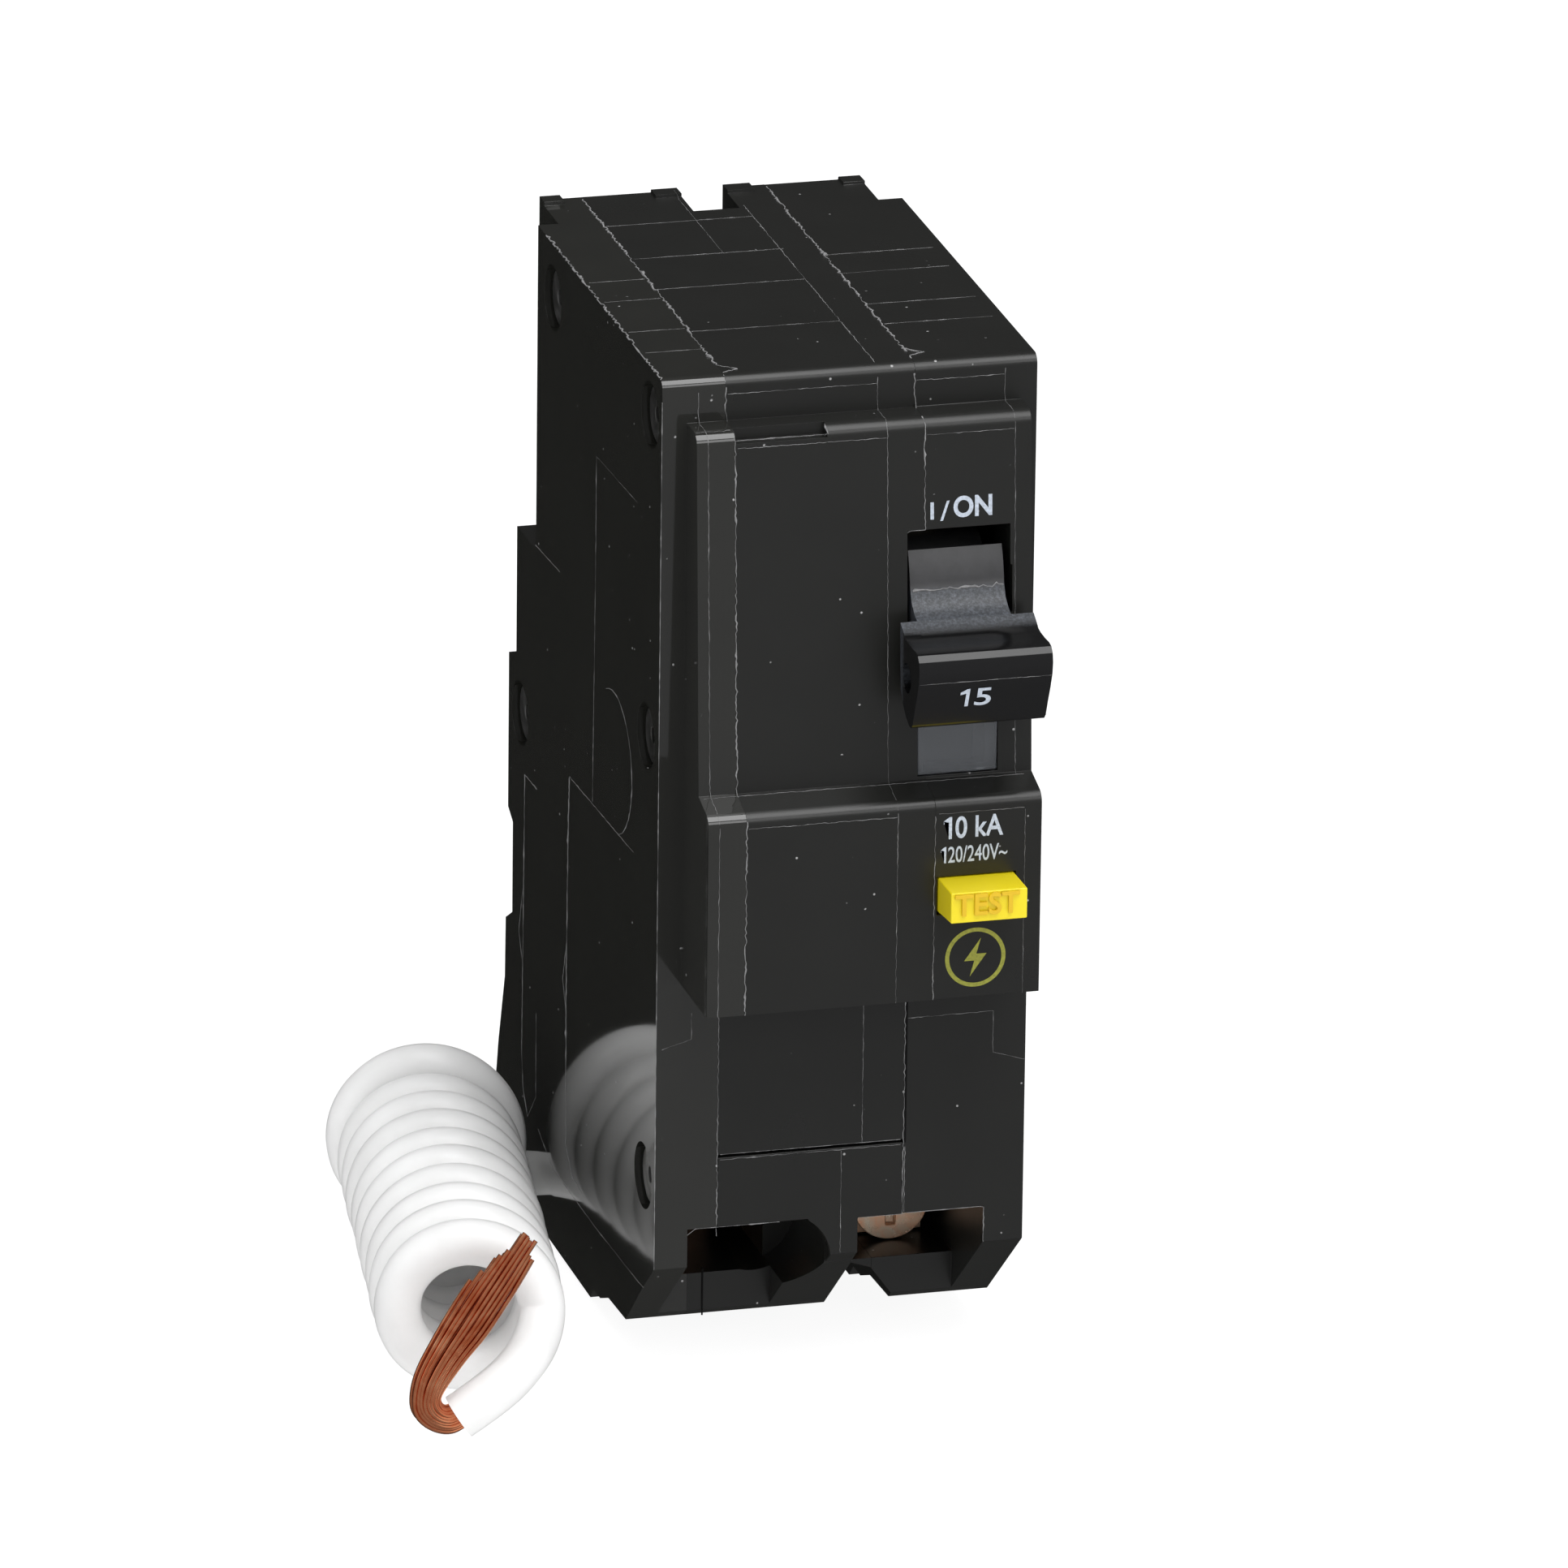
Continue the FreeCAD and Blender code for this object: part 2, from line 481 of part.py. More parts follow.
# ---------------------------------------------------------------- trip units
CRADLE = [("31.4", "-26.0"), ("36.2", "-26.0"), ("36.2", "-33.0"), ("33.2", "-52.0"),
          ("30.6", "-52.0"), ("31.0", "-34.0")]
for pole, x in POLES.items():
    plate = pad(f"cradle_plate_{pole}", "yz", CRADLE, f"{x} + 2.2", f"{x} + 3.4")
    keep(f"cradle_{pole}", cut(f"cradle_shape_{pole}", plate,
                               rod(f"cradle_bore_{pole}", "x", f"1.0 + {run}",
                                   (f"{x} + 1", "34", "-28"), "4")))
    keep(f"armature_{pole}", fuse(f"armature_shape_{pole}", [
        block(f"armature_plate_{pole}", (f"{x} - 3.4", f"{x} + 3.4"), ("37.0", "38.2"),
              ("-62", "-37")),
        block(f"armature_ear_{pole}", (f"{x} - 3.4", f"{x} + 3.4"), ("37.0", "39.4"),
              ("-38.2", "-37")),
        rod(f"armature_pivot_{pole}", "x", "0.8", (f"{x} - 4.0", "37.6", "-37.6"), "8.0")]))
    keep(f"magnet_yoke_{pole}", fuse(f"yoke_shape_{pole}", [
        block(f"yoke_back_{pole}", (f"{x} - 4.2", f"{x} + 4.2"), ("46.4", "47.6"), ("-58", "-44")),
        block(f"yoke_left_{pole}", (f"{x} - 4.2", f"{x} - 3.0"), ("39.9", "47.6"), ("-58", "-44")),
        block(f"yoke_right_{pole}", (f"{x} + 3.0", f"{x} + 4.2"), ("39.9", "47.6"),
              ("-58", "-44"))]))
    keep(f"bimetal_{pole}", block(f"bimetal_strip_{pole}", (f"{x} - 2.5", f"{x} + 2.5"),
                                  ("43.0", "43.9"), ("-66.5", "-35.5")))
keep("cradle_pin", rod("cradle_pin_rod", "x", "1.0", ("1.0", "34", "-28"), "36.1"))
fingers = [block(f"trip_finger_{pole}", (f"{x} - 2.0", f"{x} + 2.0"), ("34.6", "35.8"),
                 ("-70.9", "-59.6")) for pole, x in POLES.items()]
fingers.append(block("trip_finger_mid", ("21.6", "25.4"), ("34.6", "35.8"), ("-70.9", "-61.6")))
hubs = [block(f"trip_hub_{i}", xs, ("29.2", "35.8"), ("-71.8", "-69.2"))
        for i, xs in enumerate([(f"{pole_b} - 2.0", f"{pole_b} + 2.0"), ("21.6", "25.4"),
                                (f"{pole_a} - 2.0", f"{pole_a} + 2.0")])]
keep("trip_bar", fuse("trip_bar_solid", fingers + hubs + [
    rod("trip_shaft", "x", "1.4", ("1.2", "31", "-70"), "35.7")]))

# ---------------------------------------------------------------- fault sensing electronics
board = block("board_blank", ("17.3", "18.8"), ("8", "38"), ("-86.4", "-44"))
keep("circuit_board", cut("board_shape", board,
                          rod("board_trip_hole", "x", "2.6", ("16", "31", "-70"), "4"),
                          rod("board_boss_hole", "x", "4.7", ("16", "4.6", "-84.6"), "4")))
keep("solenoid_frame", fuse("solenoid_frame_solid", [
    block("frame_front", ("18.9", "27.9"), ("7.4", "8.6"), ("-69", "-59")),
    block("frame_side", ("18.9", "19.7"), ("7.4", "29.0"), ("-69", "-59")),
    cut("frame_rear", block("frame_rear_plate", ("18.9", "27.9"), ("27.8", "29.0"),
                            ("-69", "-59")),
        rod("frame_rear_hole", "y", "1.7", ("23.5", "27", "-64"), "3"))]))
keep("solenoid_coil", ring("solenoid_winding", "y", "3.7", "1.6", ("23.5", "8.8", "-64"), "18.8"))
keep("plunger", rod("plunger_rod", "y", "1.4", ("23.5", "11", "-64"), "23.5"))
SENSOR = ("26.4", "43", "-83.4")
keep("sensor_toroid", ring("sensor_ring", "z", "8.8", "5.2", SENSOR, "7"))
keep("capacitor", rod("capacitor_can", "x", "3.1", ("18.85", "13.5", "-77.5"), "6.2"))
keep("surge_disc", rod("surge_body", "x", "4.2", ("18.85", "24.5", "-51.5"), "2.6"))
keep("control_chip", block("chip_body", ("18.85", "20.6"), ("20", "27"), ("-80", "-73")))
resistors = []
for i in range(4):
    resistors.append(rod(f"resistor_{i}", "y", "0.9", ("19.8", "10.5", str(-46.5 - 2.6 * i)), "5"))
keep("resistors", together("resistor_row", resistors))

# ---------------------------------------------------------------- load terminals
LUGS = {"a": ("28.8", 17.4), "b": (pole_b, 30.4)}
screws, clamps = [], []
for pole, (lug_x, face) in LUGS.items():
    screw = fuse(f"screw_solid_{pole}", [
        rod(f"screw_head_{pole}", "y", "3.9", (lug_x, str(face - 1.8), "-94.2"), "1.8"),
        rod(f"screw_shank_{pole}", "y", "1.9", (lug_x, str(face), "-94.2"), "6.8")])
    screws.append(cut(
        f"screw_shape_{pole}", screw,
        block(f"screw_slot_{pole}", (f"{lug_x} - 4", f"{lug_x} + 4"),
              (str(face - 2), str(face - 1)), ("-94.7", "-93.7")),
        block(f"screw_cross_{pole}", (f"{lug_x} - 0.5", f"{lug_x} + 0.5"),
              (str(face - 2), str(face - 1)), ("-96.6", "-91.8"))))
    clamp = block(f"clamp_blank_{pole}", (f"{lug_x} - 3.75", f"{lug_x} + 3.75"),
                  (str(face + 0.3), str(face + 1.5)), ("-98.0", "-90.4"))
    clamps.append(cut(f"clamp_shape_{pole}", clamp,
                      rod(f"clamp_hole_{pole}", "y", "2.1", (lug_x, str(face), "-94.2"), "3")))
    lug = fuse(f"lug_blank_{pole}", [
        block(f"lug_face_{pole}", (f"{lug_x} - 3.7", f"{lug_x} + 3.7"),
              (str(face + 3.4), str(face + 5.0)), ("-98.0", "-89.5")),
        block(f"lug_top_{pole}", (f"{lug_x} - 3.7", f"{lug_x} + 3.7"),
              (str(face + 3.4), str(face + 7.4)), ("-90.9", "-89.5"))])
    keep(f"load_lug_{pole}", cut(f"lug_shape_{pole}", lug,
                                 rod(f"lug_hole_{pole}", "y", "1.95",
                                     (lug_x, str(face), "-94.2"), "8")))
keep("terminal_screws", together("screw_pair", screws))
keep("clamp_plates", together("clamp_pair", clamps))


# ---------------------------------------------------------------- wires
def bend(points):
    """Straight runs joined by tangent arcs: the path's edges and the arcs' radii."""
    edges, radii = [], []
    here = points[0]
    for before, corner, after in zip(points, points[1:], points[2:]):
        back, ahead = (before - corner).normalize(), (after - corner).normalize()
        half_turn = (math.pi - back.getAngle(ahead)) / 2
        tangent = 0.45 * min((corner - before).Length, (after - corner).Length)
        radius = tangent / math.tan(half_turn)
        radii.append(radius)
        middle = corner + (back + ahead).normalize() * (radius / math.cos(half_turn) - radius)
        start, end = corner + back * tangent, corner + ahead * tangent
        edges += [Part.LineSegment(here, start).toShape(), Part.Arc(start, middle, end).toShape()]
        here = end
    edges.append(Part.LineSegment(here, points[-1]).toShape())
    return edges, radii


def tube(name, points, radius):
    """A round tube along a route of case-coordinate points."""
    spots = [Vector(number(x_of(x)), number(y_of(y)), number(z_of(z))) for x, y, z in points]
    edges, radii = bend(spots)
    path = Part.Wire(edges)
    first = (spots[1] - spots[0]).normalize()
    circle = Part.Wire([Part.makeCircle(radius, spots[0], first)])
    shape = path.makePipeShell([circle], True, True)
    expected = math.pi * radius ** 2 * path.Length
    print(f"{name}: length {path.Length:.1f}, radii {[round(r, 1) for r in radii]}, "
          f"volume {shape.Volume / expected:.3f} of section times length")
    return shape


LEAD_A = [(29.2, 43.4, -67.6), (29.2, 43.4, -71.0), (27.6, 43.0, -75.0), (27.6, 43.0, -85.5),
          (29.4, 36.0, -85.9), (29.2, 25.6, -86.0)]
LEAD_B = [(9.6, 43.4, -67.6), (10.6, 43.2, -71.6), (14.0, 43.0, -72.5), (21.5, 43.0, -72.6),
          (24.2, 43.0, -76.0), (24.2, 43.0, -83.6), (20.5, 41.6, -85.9), (11.5, 41.0, -85.9)]
solid("load_lead_a", tube("load_lead_a", LEAD_A, 1.2))
solid("load_lead_b", tube("load_lead_b", LEAD_B, 1.2))
BRAID = [(-3.0, 22.5, -47.5), (-3.0, 27.5, -51.0), (-3.2, 31.4, -56.5), (-3.2, 32.2, -64.0)]
braids = [tube(f"braid_{pole}", [(number(x) + a, y, z) for a, y, z in BRAID], 0.9)
          for pole, x in POLES.items()]
solid("flex_braids", Part.makeCompound(braids))

# ---------------------------------------------------------------- pigtail
wire_r = number(wire_d) / 2
grommet = doc.addObject("Part::Cone", "grommet_cone")
grommet.Radius1 = 3.1
grommet.Radius2 = 2.9
grommet.Height = 4.6
place(grommet, "7.5", cord_y, cord_z, rotation=Rotation(Vector(0, 0, 1), Vector(-1, 0, 0)))
keep("pigtail_grommet", cut("grommet_shape", grommet,
                            rod("grommet_bore", "x", f"{wire_d} / 2", ("1", cord_y, cord_z), "9")))
exit_y, exit_z = number(cord_y), number(cord_z)
LEAD_IN = [(14.0, exit_y, exit_z), (0.5, exit_y, exit_z), (-8.2, 51.7, -103.5)]
solid("pigtail_lead", tube("pigtail_lead", LEAD_IN, wire_r))
near = Vector(number(x_of(-18.25)), number(y_of(1.7)), number(coil_d) / 2)
far = Vector(number(x_of(-11.7)), number(y_of(53.9)), number(coil_d) / 2)
axis = far - near
coil = Part.makeCylinder(number(coil_d) / 2, axis.Length, near, axis)
hole = Part.makeCylinder(number(coil_hole) / 2, axis.Length, near, axis)
solid("pigtail_coil", coil.cut(hole))
TAIL = [(-10.7, 3.5, -96.2), (-10.9, 2.9, -100.4), (-14.6, -0.9, -103.6), (-21.4, -5.9, -103.8)]
STRANDS = [(-21.4, -5.9, -103.8), (-24.9, -8.4, -103.7), (-25.4, -7.8, -100.0),
           (-20.4, -6.4, -92.8), (-15.2, -5.2, -87.2)]
solid("pigtail_tail", tube("pigtail_tail", TAIL, wire_r))
solid("pigtail_strands", tube("pigtail_strands", STRANDS, 1.6))

# ---------------------------------------------------------------- check and write
doc.recompute()
for obj in doc.Objects:
    if "Invalid" in obj.State or "Error" in obj.State:
        raise SystemExit(f"{obj.Name} did not build: {obj.State}")
os.makedirs("parts", exist_ok=True)
for piece in pieces:
    if piece.Shape.isNull() or not piece.Shape.isValid():
        raise SystemExit(f"{piece.Label} has no valid shape")
    piece.Shape.exportStep(f"parts/{piece.Label}.step")
print(f"{len(pieces)} pieces written")
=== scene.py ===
"""Two-pole ground-fault breaker with a coiled white neutral wire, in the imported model's frame.

Places on the case are written in case coordinates, in millimetres: x from the left face,
y behind the front plane and z from the top front edge (negative downwards).
"""
import json
import math
import random

import bmesh
import bpy
from mathutils import Matrix, Vector, noise
from mathutils.bvhtree import BVHTree


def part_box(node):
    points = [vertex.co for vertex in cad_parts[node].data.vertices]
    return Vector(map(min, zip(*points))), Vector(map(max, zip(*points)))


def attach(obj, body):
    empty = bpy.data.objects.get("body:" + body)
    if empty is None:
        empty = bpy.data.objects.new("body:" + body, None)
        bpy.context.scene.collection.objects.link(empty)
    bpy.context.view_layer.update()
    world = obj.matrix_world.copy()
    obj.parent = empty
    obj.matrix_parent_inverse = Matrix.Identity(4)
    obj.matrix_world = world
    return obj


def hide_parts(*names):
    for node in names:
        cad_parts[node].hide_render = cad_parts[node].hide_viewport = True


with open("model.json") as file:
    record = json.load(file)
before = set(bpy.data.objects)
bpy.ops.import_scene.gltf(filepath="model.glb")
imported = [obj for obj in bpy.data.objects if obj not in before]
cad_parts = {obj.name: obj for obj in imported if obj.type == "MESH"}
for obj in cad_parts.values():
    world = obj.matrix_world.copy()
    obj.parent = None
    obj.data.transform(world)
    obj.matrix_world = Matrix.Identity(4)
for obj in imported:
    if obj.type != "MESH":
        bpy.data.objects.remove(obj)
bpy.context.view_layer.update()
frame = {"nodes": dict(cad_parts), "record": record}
nodes = frame["nodes"]
scene = bpy.context.scene

MM = 0.001
TOP_RISE = 1.45  # of the rear top lugs above the top front edge
ORIGIN = Vector((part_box("left_cover")[0].x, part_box("terminal_insert")[0].y,
                 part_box("centre_case")[1].z - TOP_RISE * MM))


def at(x, y, z):
    """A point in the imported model's frame, in metres, from case coordinates in millimetres."""
    return ORIGIN + Vector((x, y, z)) * MM


# ---------------------------------------------------------------- case sizes, in millimetres
SEAM_1, SEAM_2 = 6.4, 25.6  # x of the seams between the three mouldings
CASE_DEPTH, BACK_RISE = 56.8, 1.0  # the top face climbs by this much over the depth
PLATE_TOP, PLATE_FOOT = -4.5, -63.0  # z of the stepped front plate's ends
LEDGE_BACK, LEDGE_FRONT = -41.2, -42.3  # z of the ledge between its two steps
PLATE_Y, LEAN_Y, LOWER_Y = -3.8, -5.9, -9.8  # y of its top, of the ledge's back and of the lower step
INSERT_TOP, CHAMFER_Z = -81.3, -93.0
OPENING_TOP = -89.2  # z of the terminal openings' upper edges
BUTTON_Y = -14.5  # the test button's front face


def plate_y(z):
    """The front plate's surface at a height, above its ledge."""
    return PLATE_Y + (LEAN_Y - PLATE_Y) * (z - PLATE_TOP) / (LEDGE_BACK - PLATE_TOP)


def top_z(y):
    """The top face's height at a depth."""
    return BACK_RISE * y / CASE_DEPTH


# ---------------------------------------------------------------- material helpers
class Nodes:
    """A material's node tree with short calls for the nodes used here."""

    def __init__(self, name):
        self.material = bpy.data.materials.new(name)
        self.material.use_nodes = True
        self.tree = self.material.node_tree
        self.shader = self.tree.nodes["Principled BSDF"]
        self.position = self.add("ShaderNodeTexCoord").outputs["Object"]

    def add(self, kind, **settings):
        """A new node with some of its properties set."""
        node = self.tree.nodes.new(kind)
        for key, value in settings.items():
            setattr(node, key, value)
        return node

    def link(self, source, target):
        """Join an output to an input."""
        self.tree.links.new(source, target)

    def noise(self, scale, detail=3.0, roughness=0.5, distortion=0.0):
        """Soft random values from 0 to 1; scale is in patches per metre."""
        node = self.add("ShaderNodeTexNoise")
        self.link(self.position, node.inputs["Vector"])
        for key, value in (("Scale", scale), ("Detail", detail), ("Roughness", roughness),
                           ("Distortion", distortion)):
            node.inputs[key].default_value = value
        return node.outputs["Fac"]

    def cells(self, scale):
        """The distance to the nearest of many scattered points."""
        node = self.add("ShaderNodeTexVoronoi")
        self.link(self.position, node.inputs["Vector"])
        node.inputs["Scale"].default_value = scale
        return node.outputs["Distance"]

    def ramp(self, source, low, high, start=(0, 0, 0), end=(1, 1, 1)):
        """Two colours with a steady change between the values low and high."""
        node = self.add("ShaderNodeValToRGB")
        elements = node.color_ramp.elements
        elements[0].position, elements[1].position = low, high
        elements[0].color, elements[1].color = (*start, 1), (*end, 1)
        self.link(source, node.inputs["Fac"])
        return node.outputs["Color"]

    def spread(self, source, low, high):
        """Map a 0..1 value to a range."""
        node = self.add("ShaderNodeMapRange")
        self.link(source, node.inputs["Value"])
        node.inputs["To Min"].default_value, node.inputs["To Max"].default_value = low, high
        return node.outputs["Result"]

    def mix(self, factor, first, second):
        """Blend two colours; each may be a colour or another node's output."""
        node = self.add("ShaderNodeMix", data_type="RGBA")
        self.link(factor, node.inputs["Factor"])
        for value, socket in ((first, node.inputs[6]), (second, node.inputs[7])):
            if isinstance(value, tuple):
                socket.default_value = (*value, 1)
            else:
                self.link(value, socket)
        return node.outputs[2]

    def bump(self, height, distance):
        """Tilt the surface by a height map; distance is the full height in metres."""
        node = self.add("ShaderNodeBump")
        node.inputs["Distance"].default_value = distance
        self.link(height, node.inputs["Height"])
        self.link(node.outputs["Normal"], self.shader.inputs["Normal"])

    def set(self, **values):
        """Put constants on the shader's own sockets."""
        for key, value in values.items():
            socket = self.shader.inputs[key.replace("_", " ").title().replace("Ior", "IOR")]
            socket.default_value = (*value, 1) if isinstance(value, tuple) else value


GLOSS_SPREAD = 0.25  # share by which a plastic's roughness varies


def plastic(name, colour, rough, grain, dust=0.0, bump=0.00001, wave=0.0, gloss=0.5):
    """Moulded plastic: a slightly uneven gloss, fine grain and, on dark parts, dust specks."""
    n = Nodes(name)
    darker, lighter = tuple(c * 0.85 for c in colour), tuple(min(1, c * 1.12) for c in colour)
    shade = n.mix(n.noise(scale=140, detail=4), darker, lighter)
    if dust:
        speck = n.ramp(n.cells(scale=480), low=0.045, high=0.075, start=(1, 1, 1), end=(0, 0, 0))
        patch = n.ramp(n.noise(scale=900, detail=1), low=0.54, high=0.60)
        both = n.add("ShaderNodeMath", operation="MULTIPLY")
        n.link(speck, both.inputs[0])
        n.link(patch, both.inputs[1])
        shade = n.mix(both.outputs[0], shade, (dust, dust, dust))
    n.link(shade, n.shader.inputs["Base Color"])
    gloss_map = n.spread(n.noise(scale=90, detail=5), low=rough * (1 - GLOSS_SPREAD),
                         high=rough * (1 + GLOSS_SPREAD))
    n.link(gloss_map, n.shader.inputs["Roughness"])
    height = n.noise(grain, detail=2)
    if wave:
        total = n.add("ShaderNodeMath", operation="MULTIPLY_ADD")
        n.link(n.noise(scale=110, detail=1), total.inputs[0])
        total.inputs[1].default_value = wave
        n.link(height, total.inputs[2])
        height = total.outputs[0]
    n.bump(height, distance=bump)
    n.set(specular_ior_level=gloss)
    return n.material


WEB_START, WEB_END = -8.6, -7.6  # y over which the paddle's gloss gives way to the web
DRUM_FOOT, DRUM_START = -22.2, -21.6  # z over which the web gives way to the drum


def handle_material():
    """Glossy on the paddle, satin on the drum, and dry and dusty on the web between them."""
    n = Nodes("handle_black")
    split = n.add("ShaderNodeSeparateXYZ")
    n.link(n.position, split.inputs["Vector"])

    def zone(axis, start, end):
        """A value that climbs from 0 to 1 between two places along an axis."""
        node = n.add("ShaderNodeMapRange")
        n.link(split.outputs[axis], node.inputs["Value"])
        node.inputs["From Min"].default_value, node.inputs["From Max"].default_value = start, end
        return node.outputs["Result"]

    matt = zone("Y", at(0, WEB_START, 0).y, at(0, WEB_END, 0).y)
    drum = zone("Z", at(0, 0, DRUM_FOOT).z, at(0, 0, DRUM_START).z)
    specks = n.ramp(n.noise(scale=3200, detail=4, roughness=0.75), low=0.42, high=0.72)
    web = n.mix(specks, (0.030, 0.033, 0.038), (0.105, 0.116, 0.136))
    satin = n.mix(n.noise(scale=700, detail=4, roughness=0.6), (0.034, 0.034, 0.035), (0.062, 0.062, 0.065))
    paddle = (0.0045, 0.0045, 0.0048)
    n.link(n.mix(matt, paddle, n.mix(drum, web, satin)), n.shader.inputs["Base Color"])
    n.link(n.spread(matt, low=0.2, high=0.42), n.shader.inputs["Roughness"])
    n.bump(n.noise(scale=3000, detail=2), distance=0.000002)
    return n.material


def metal(name, colour, rough, tint=None, grain=900, bump=0.00001, mottle=260, metallic=1.0):
    """Bare or plated metal with a brushed, slightly stained surface."""
    n = Nodes(name)
    stain = n.ramp(n.noise(mottle, detail=4, roughness=0.6, distortion=1.5), low=0.35, high=0.65)
    n.link(n.mix(stain, colour, tint or tuple(c * 0.75 for c in colour)), n.shader.inputs["Base Color"])
    polish = n.spread(n.noise(scale=500, detail=4), low=rough * 0.7, high=rough * 1.4)
    n.link(polish, n.shader.inputs["Roughness"])
    n.bump(n.noise(grain, detail=3), distance=bump)
    n.set(metallic=metallic)
    return n.material


def flash_material():
    """The pale, dry flash left along the mould's parting lines, and on the handle a painted highlight."""
    n = Nodes("pale_flash_and_highlight")
    n.link(n.mix(n.noise(scale=2600), (0.10, 0.10, 0.10), (0.36, 0.36, 0.365)),
           n.shader.inputs["Base Color"])
    n.bump(n.noise(scale=6000, detail=2), distance=0.00001)
    n.set(roughness=0.7, specular_ior_level=0.2)
    return n.material


def print_material(name, colour):
    """Pad-printed ink, a little uneven."""
    n = Nodes(name)
    worn = n.ramp(n.noise(scale=3500), low=0.35, high=0.7)
    n.link(n.mix(worn, colour, tuple(c * 0.72 for c in colour)), n.shader.inputs["Base Color"])
    n.bump(n.noise(scale=5000, detail=2), distance=0.000004)
    n.set(roughness=0.55)
    return n.material


def lens_material():
    """Smoky clear plastic with a slightly rubbed face."""
    n = Nodes("lens_clear")
    n.link(n.mix(n.noise(scale=300), (0.34, 0.36, 0.39), (0.42, 0.44, 0.47)),
           n.shader.inputs["Base Color"])
    n.link(n.spread(n.noise(scale=700), low=0.10, high=0.22), n.shader.inputs["Roughness"])
    n.bump(n.noise(scale=1200, detail=2), distance=0.00001)
    n.set(transmission_weight=0.82, ior=1.49)
    return n.material


def winding_material(name, colour):
    """Fine enamelled wire wound in close rings."""
    n = Nodes(name)
    wave = n.add("ShaderNodeTexWave", bands_direction="Z")
    n.link(n.position, wave.inputs["Vector"])
    wave.inputs["Scale"].default_value = 900
    n.link(n.mix(wave.outputs["Fac"], tuple(c * 0.45 for c in colour), colour),
           n.shader.inputs["Base Color"])
    n.bump(wave.outputs["Fac"], distance=0.0001)
    n.set(metallic=0.8, roughness=0.4)
    return n.material


BLACK = (0.0114, 0.0116, 0.0105)
MATERIALS = {
    "case_plastic": plastic("case_black", BLACK, 0.30, 2600, dust=0.35, bump=0.000003, wave=1.5),
    "handle_plastic": handle_material(),
    "button_plastic": plastic("button_yellow", (0.86, 0.70, 0.012), 0.36, 1800, bump=0.000006),
    "lens_plastic": lens_material(),
    "flag_plastic": plastic("flag_orange", (0.7, 0.09, 0.02), 0.4, 1500),
    "inner_plastic": plastic("inner_grey", (0.03, 0.03, 0.034), 0.4, 1500),
    "plated_steel": metal("plated_steel", (0.60, 0.60, 0.58), 0.32),
    "chromated_steel": metal("chromated_steel", (0.92, 0.50, 0.30), 0.26, (0.80, 0.68, 0.52), mottle=420,
                             metallic=0.6),
    "tinned_brass": metal("tinned_brass", (0.70, 0.62, 0.45), 0.3),
    "contact_silver": metal("contact_silver", (0.82, 0.82, 0.80), 0.25),
    "bare_copper": metal("bare_copper", (0.98, 0.42, 0.22), 0.2, (0.74, 0.20, 0.08), grain=2500,
                         bump=0.0000005, mottle=180),
    "winding_copper": winding_material("winding_copper", (0.48, 0.18, 0.07)),
    "white_insulation": plastic("white_vinyl", (0.90, 0.90, 0.89), 0.34, 1500, bump=0.000008),
    "black_insulation": plastic("black_vinyl", (0.012, 0.012, 0.012), 0.4, 1500),
    "board_laminate": plastic("board_green", (0.02, 0.12, 0.05), 0.4, 1800),
    "component_body": plastic("component_blue", (0.04, 0.12, 0.42), 0.35, 1500),
}
# Finishes that differ from their slot's usual one (the raised letters' darker yellow is painted shade), and
# those of flash, painted gap shade and prints
SIDE_BLACK = plastic("side_black", (0.0150, 0.0152, 0.0132), 0.07, 2600, dust=0.35, bump=0.0000005,
                     gloss=0.8)
DULL_STEEL = metal("dull_steel", (0.32, 0.32, 0.31), 0.5, (0.13, 0.13, 0.12))
# Painted shade: the raised letters are the button's own plastic, darkened to stand in for the shading at
# their edges
SHADED_LETTER_YELLOW = plastic("letter_yellow_painted_shade", (0.74, 0.48, 0.008), 0.4, 1800)
# Painted shade: near-black for the unlit inside of open gaps
GAP_SHADE = plastic("gap_painted_shade", (0.001, 0.001, 0.001), 0.9, 1500)
FLASH_AND_HIGHLIGHT = flash_material()
INK = print_material("ink_white", (0.54, 0.60, 0.69))
MARK_INK = print_material("ink_olive", (0.30, 0.31, 0.035))
SLOT_OF = {row["node"]: row["material_slot"] for row in frame["record"]["subparts"]}


# ---------------------------------------------------------------- mesh helpers
def link(obj, body="case", material=None):
    """Put a new piece in the scene, on a body, with one material."""
    scene.collection.objects.link(obj)
    if material:
        obj.data.materials.clear()
        obj.data.materials.append(material)
    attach(obj, body)
    return obj


WELD = 2e-6  # vertices closer than this, in metres, are joined
FLAT_ANGLE = math.radians(0.1)
SHARP_ANGLE = math.radians(32)
BEVEL_SEGMENTS = 3


def cleaned(node):
    """A copy of a CAD node's mesh with its flat faces joined up."""
    mesh = bpy.data.meshes.new(f"{node}_clean")
    bm = bmesh.new()
    bm.from_mesh(nodes[node].data)
    bmesh.ops.remove_doubles(bm, verts=bm.verts, dist=WELD)
    bmesh.ops.dissolve_limit(bm, angle_limit=FLAT_ANGLE, verts=bm.verts, edges=bm.edges)
    bm.to_mesh(mesh)
    bm.free()
    return mesh


def soften(obj, width):
    """Round a piece's sharp edges a little, with even shading on its flats.

    The width, in millimetres, is an upper limit: the bevel stops where the mesh has no more room.
    """
    for polygon in obj.data.polygons:
        polygon.use_smooth = True
    bevel = obj.modifiers.new("edges", "BEVEL")
    bevel.width = width * MM
    bevel.segments = BEVEL_SEGMENTS
    bevel.limit_method = "ANGLE"
    bevel.angle_limit = SHARP_ANGLE
    bevel.miter_outer = "MITER_ARC"
    bevel.use_clamp_overlap = True
    normals = obj.modifiers.new("normals", "WEIGHTED_NORMAL")
    normals.mode = "FACE_AREA"
    normals.weight = 100


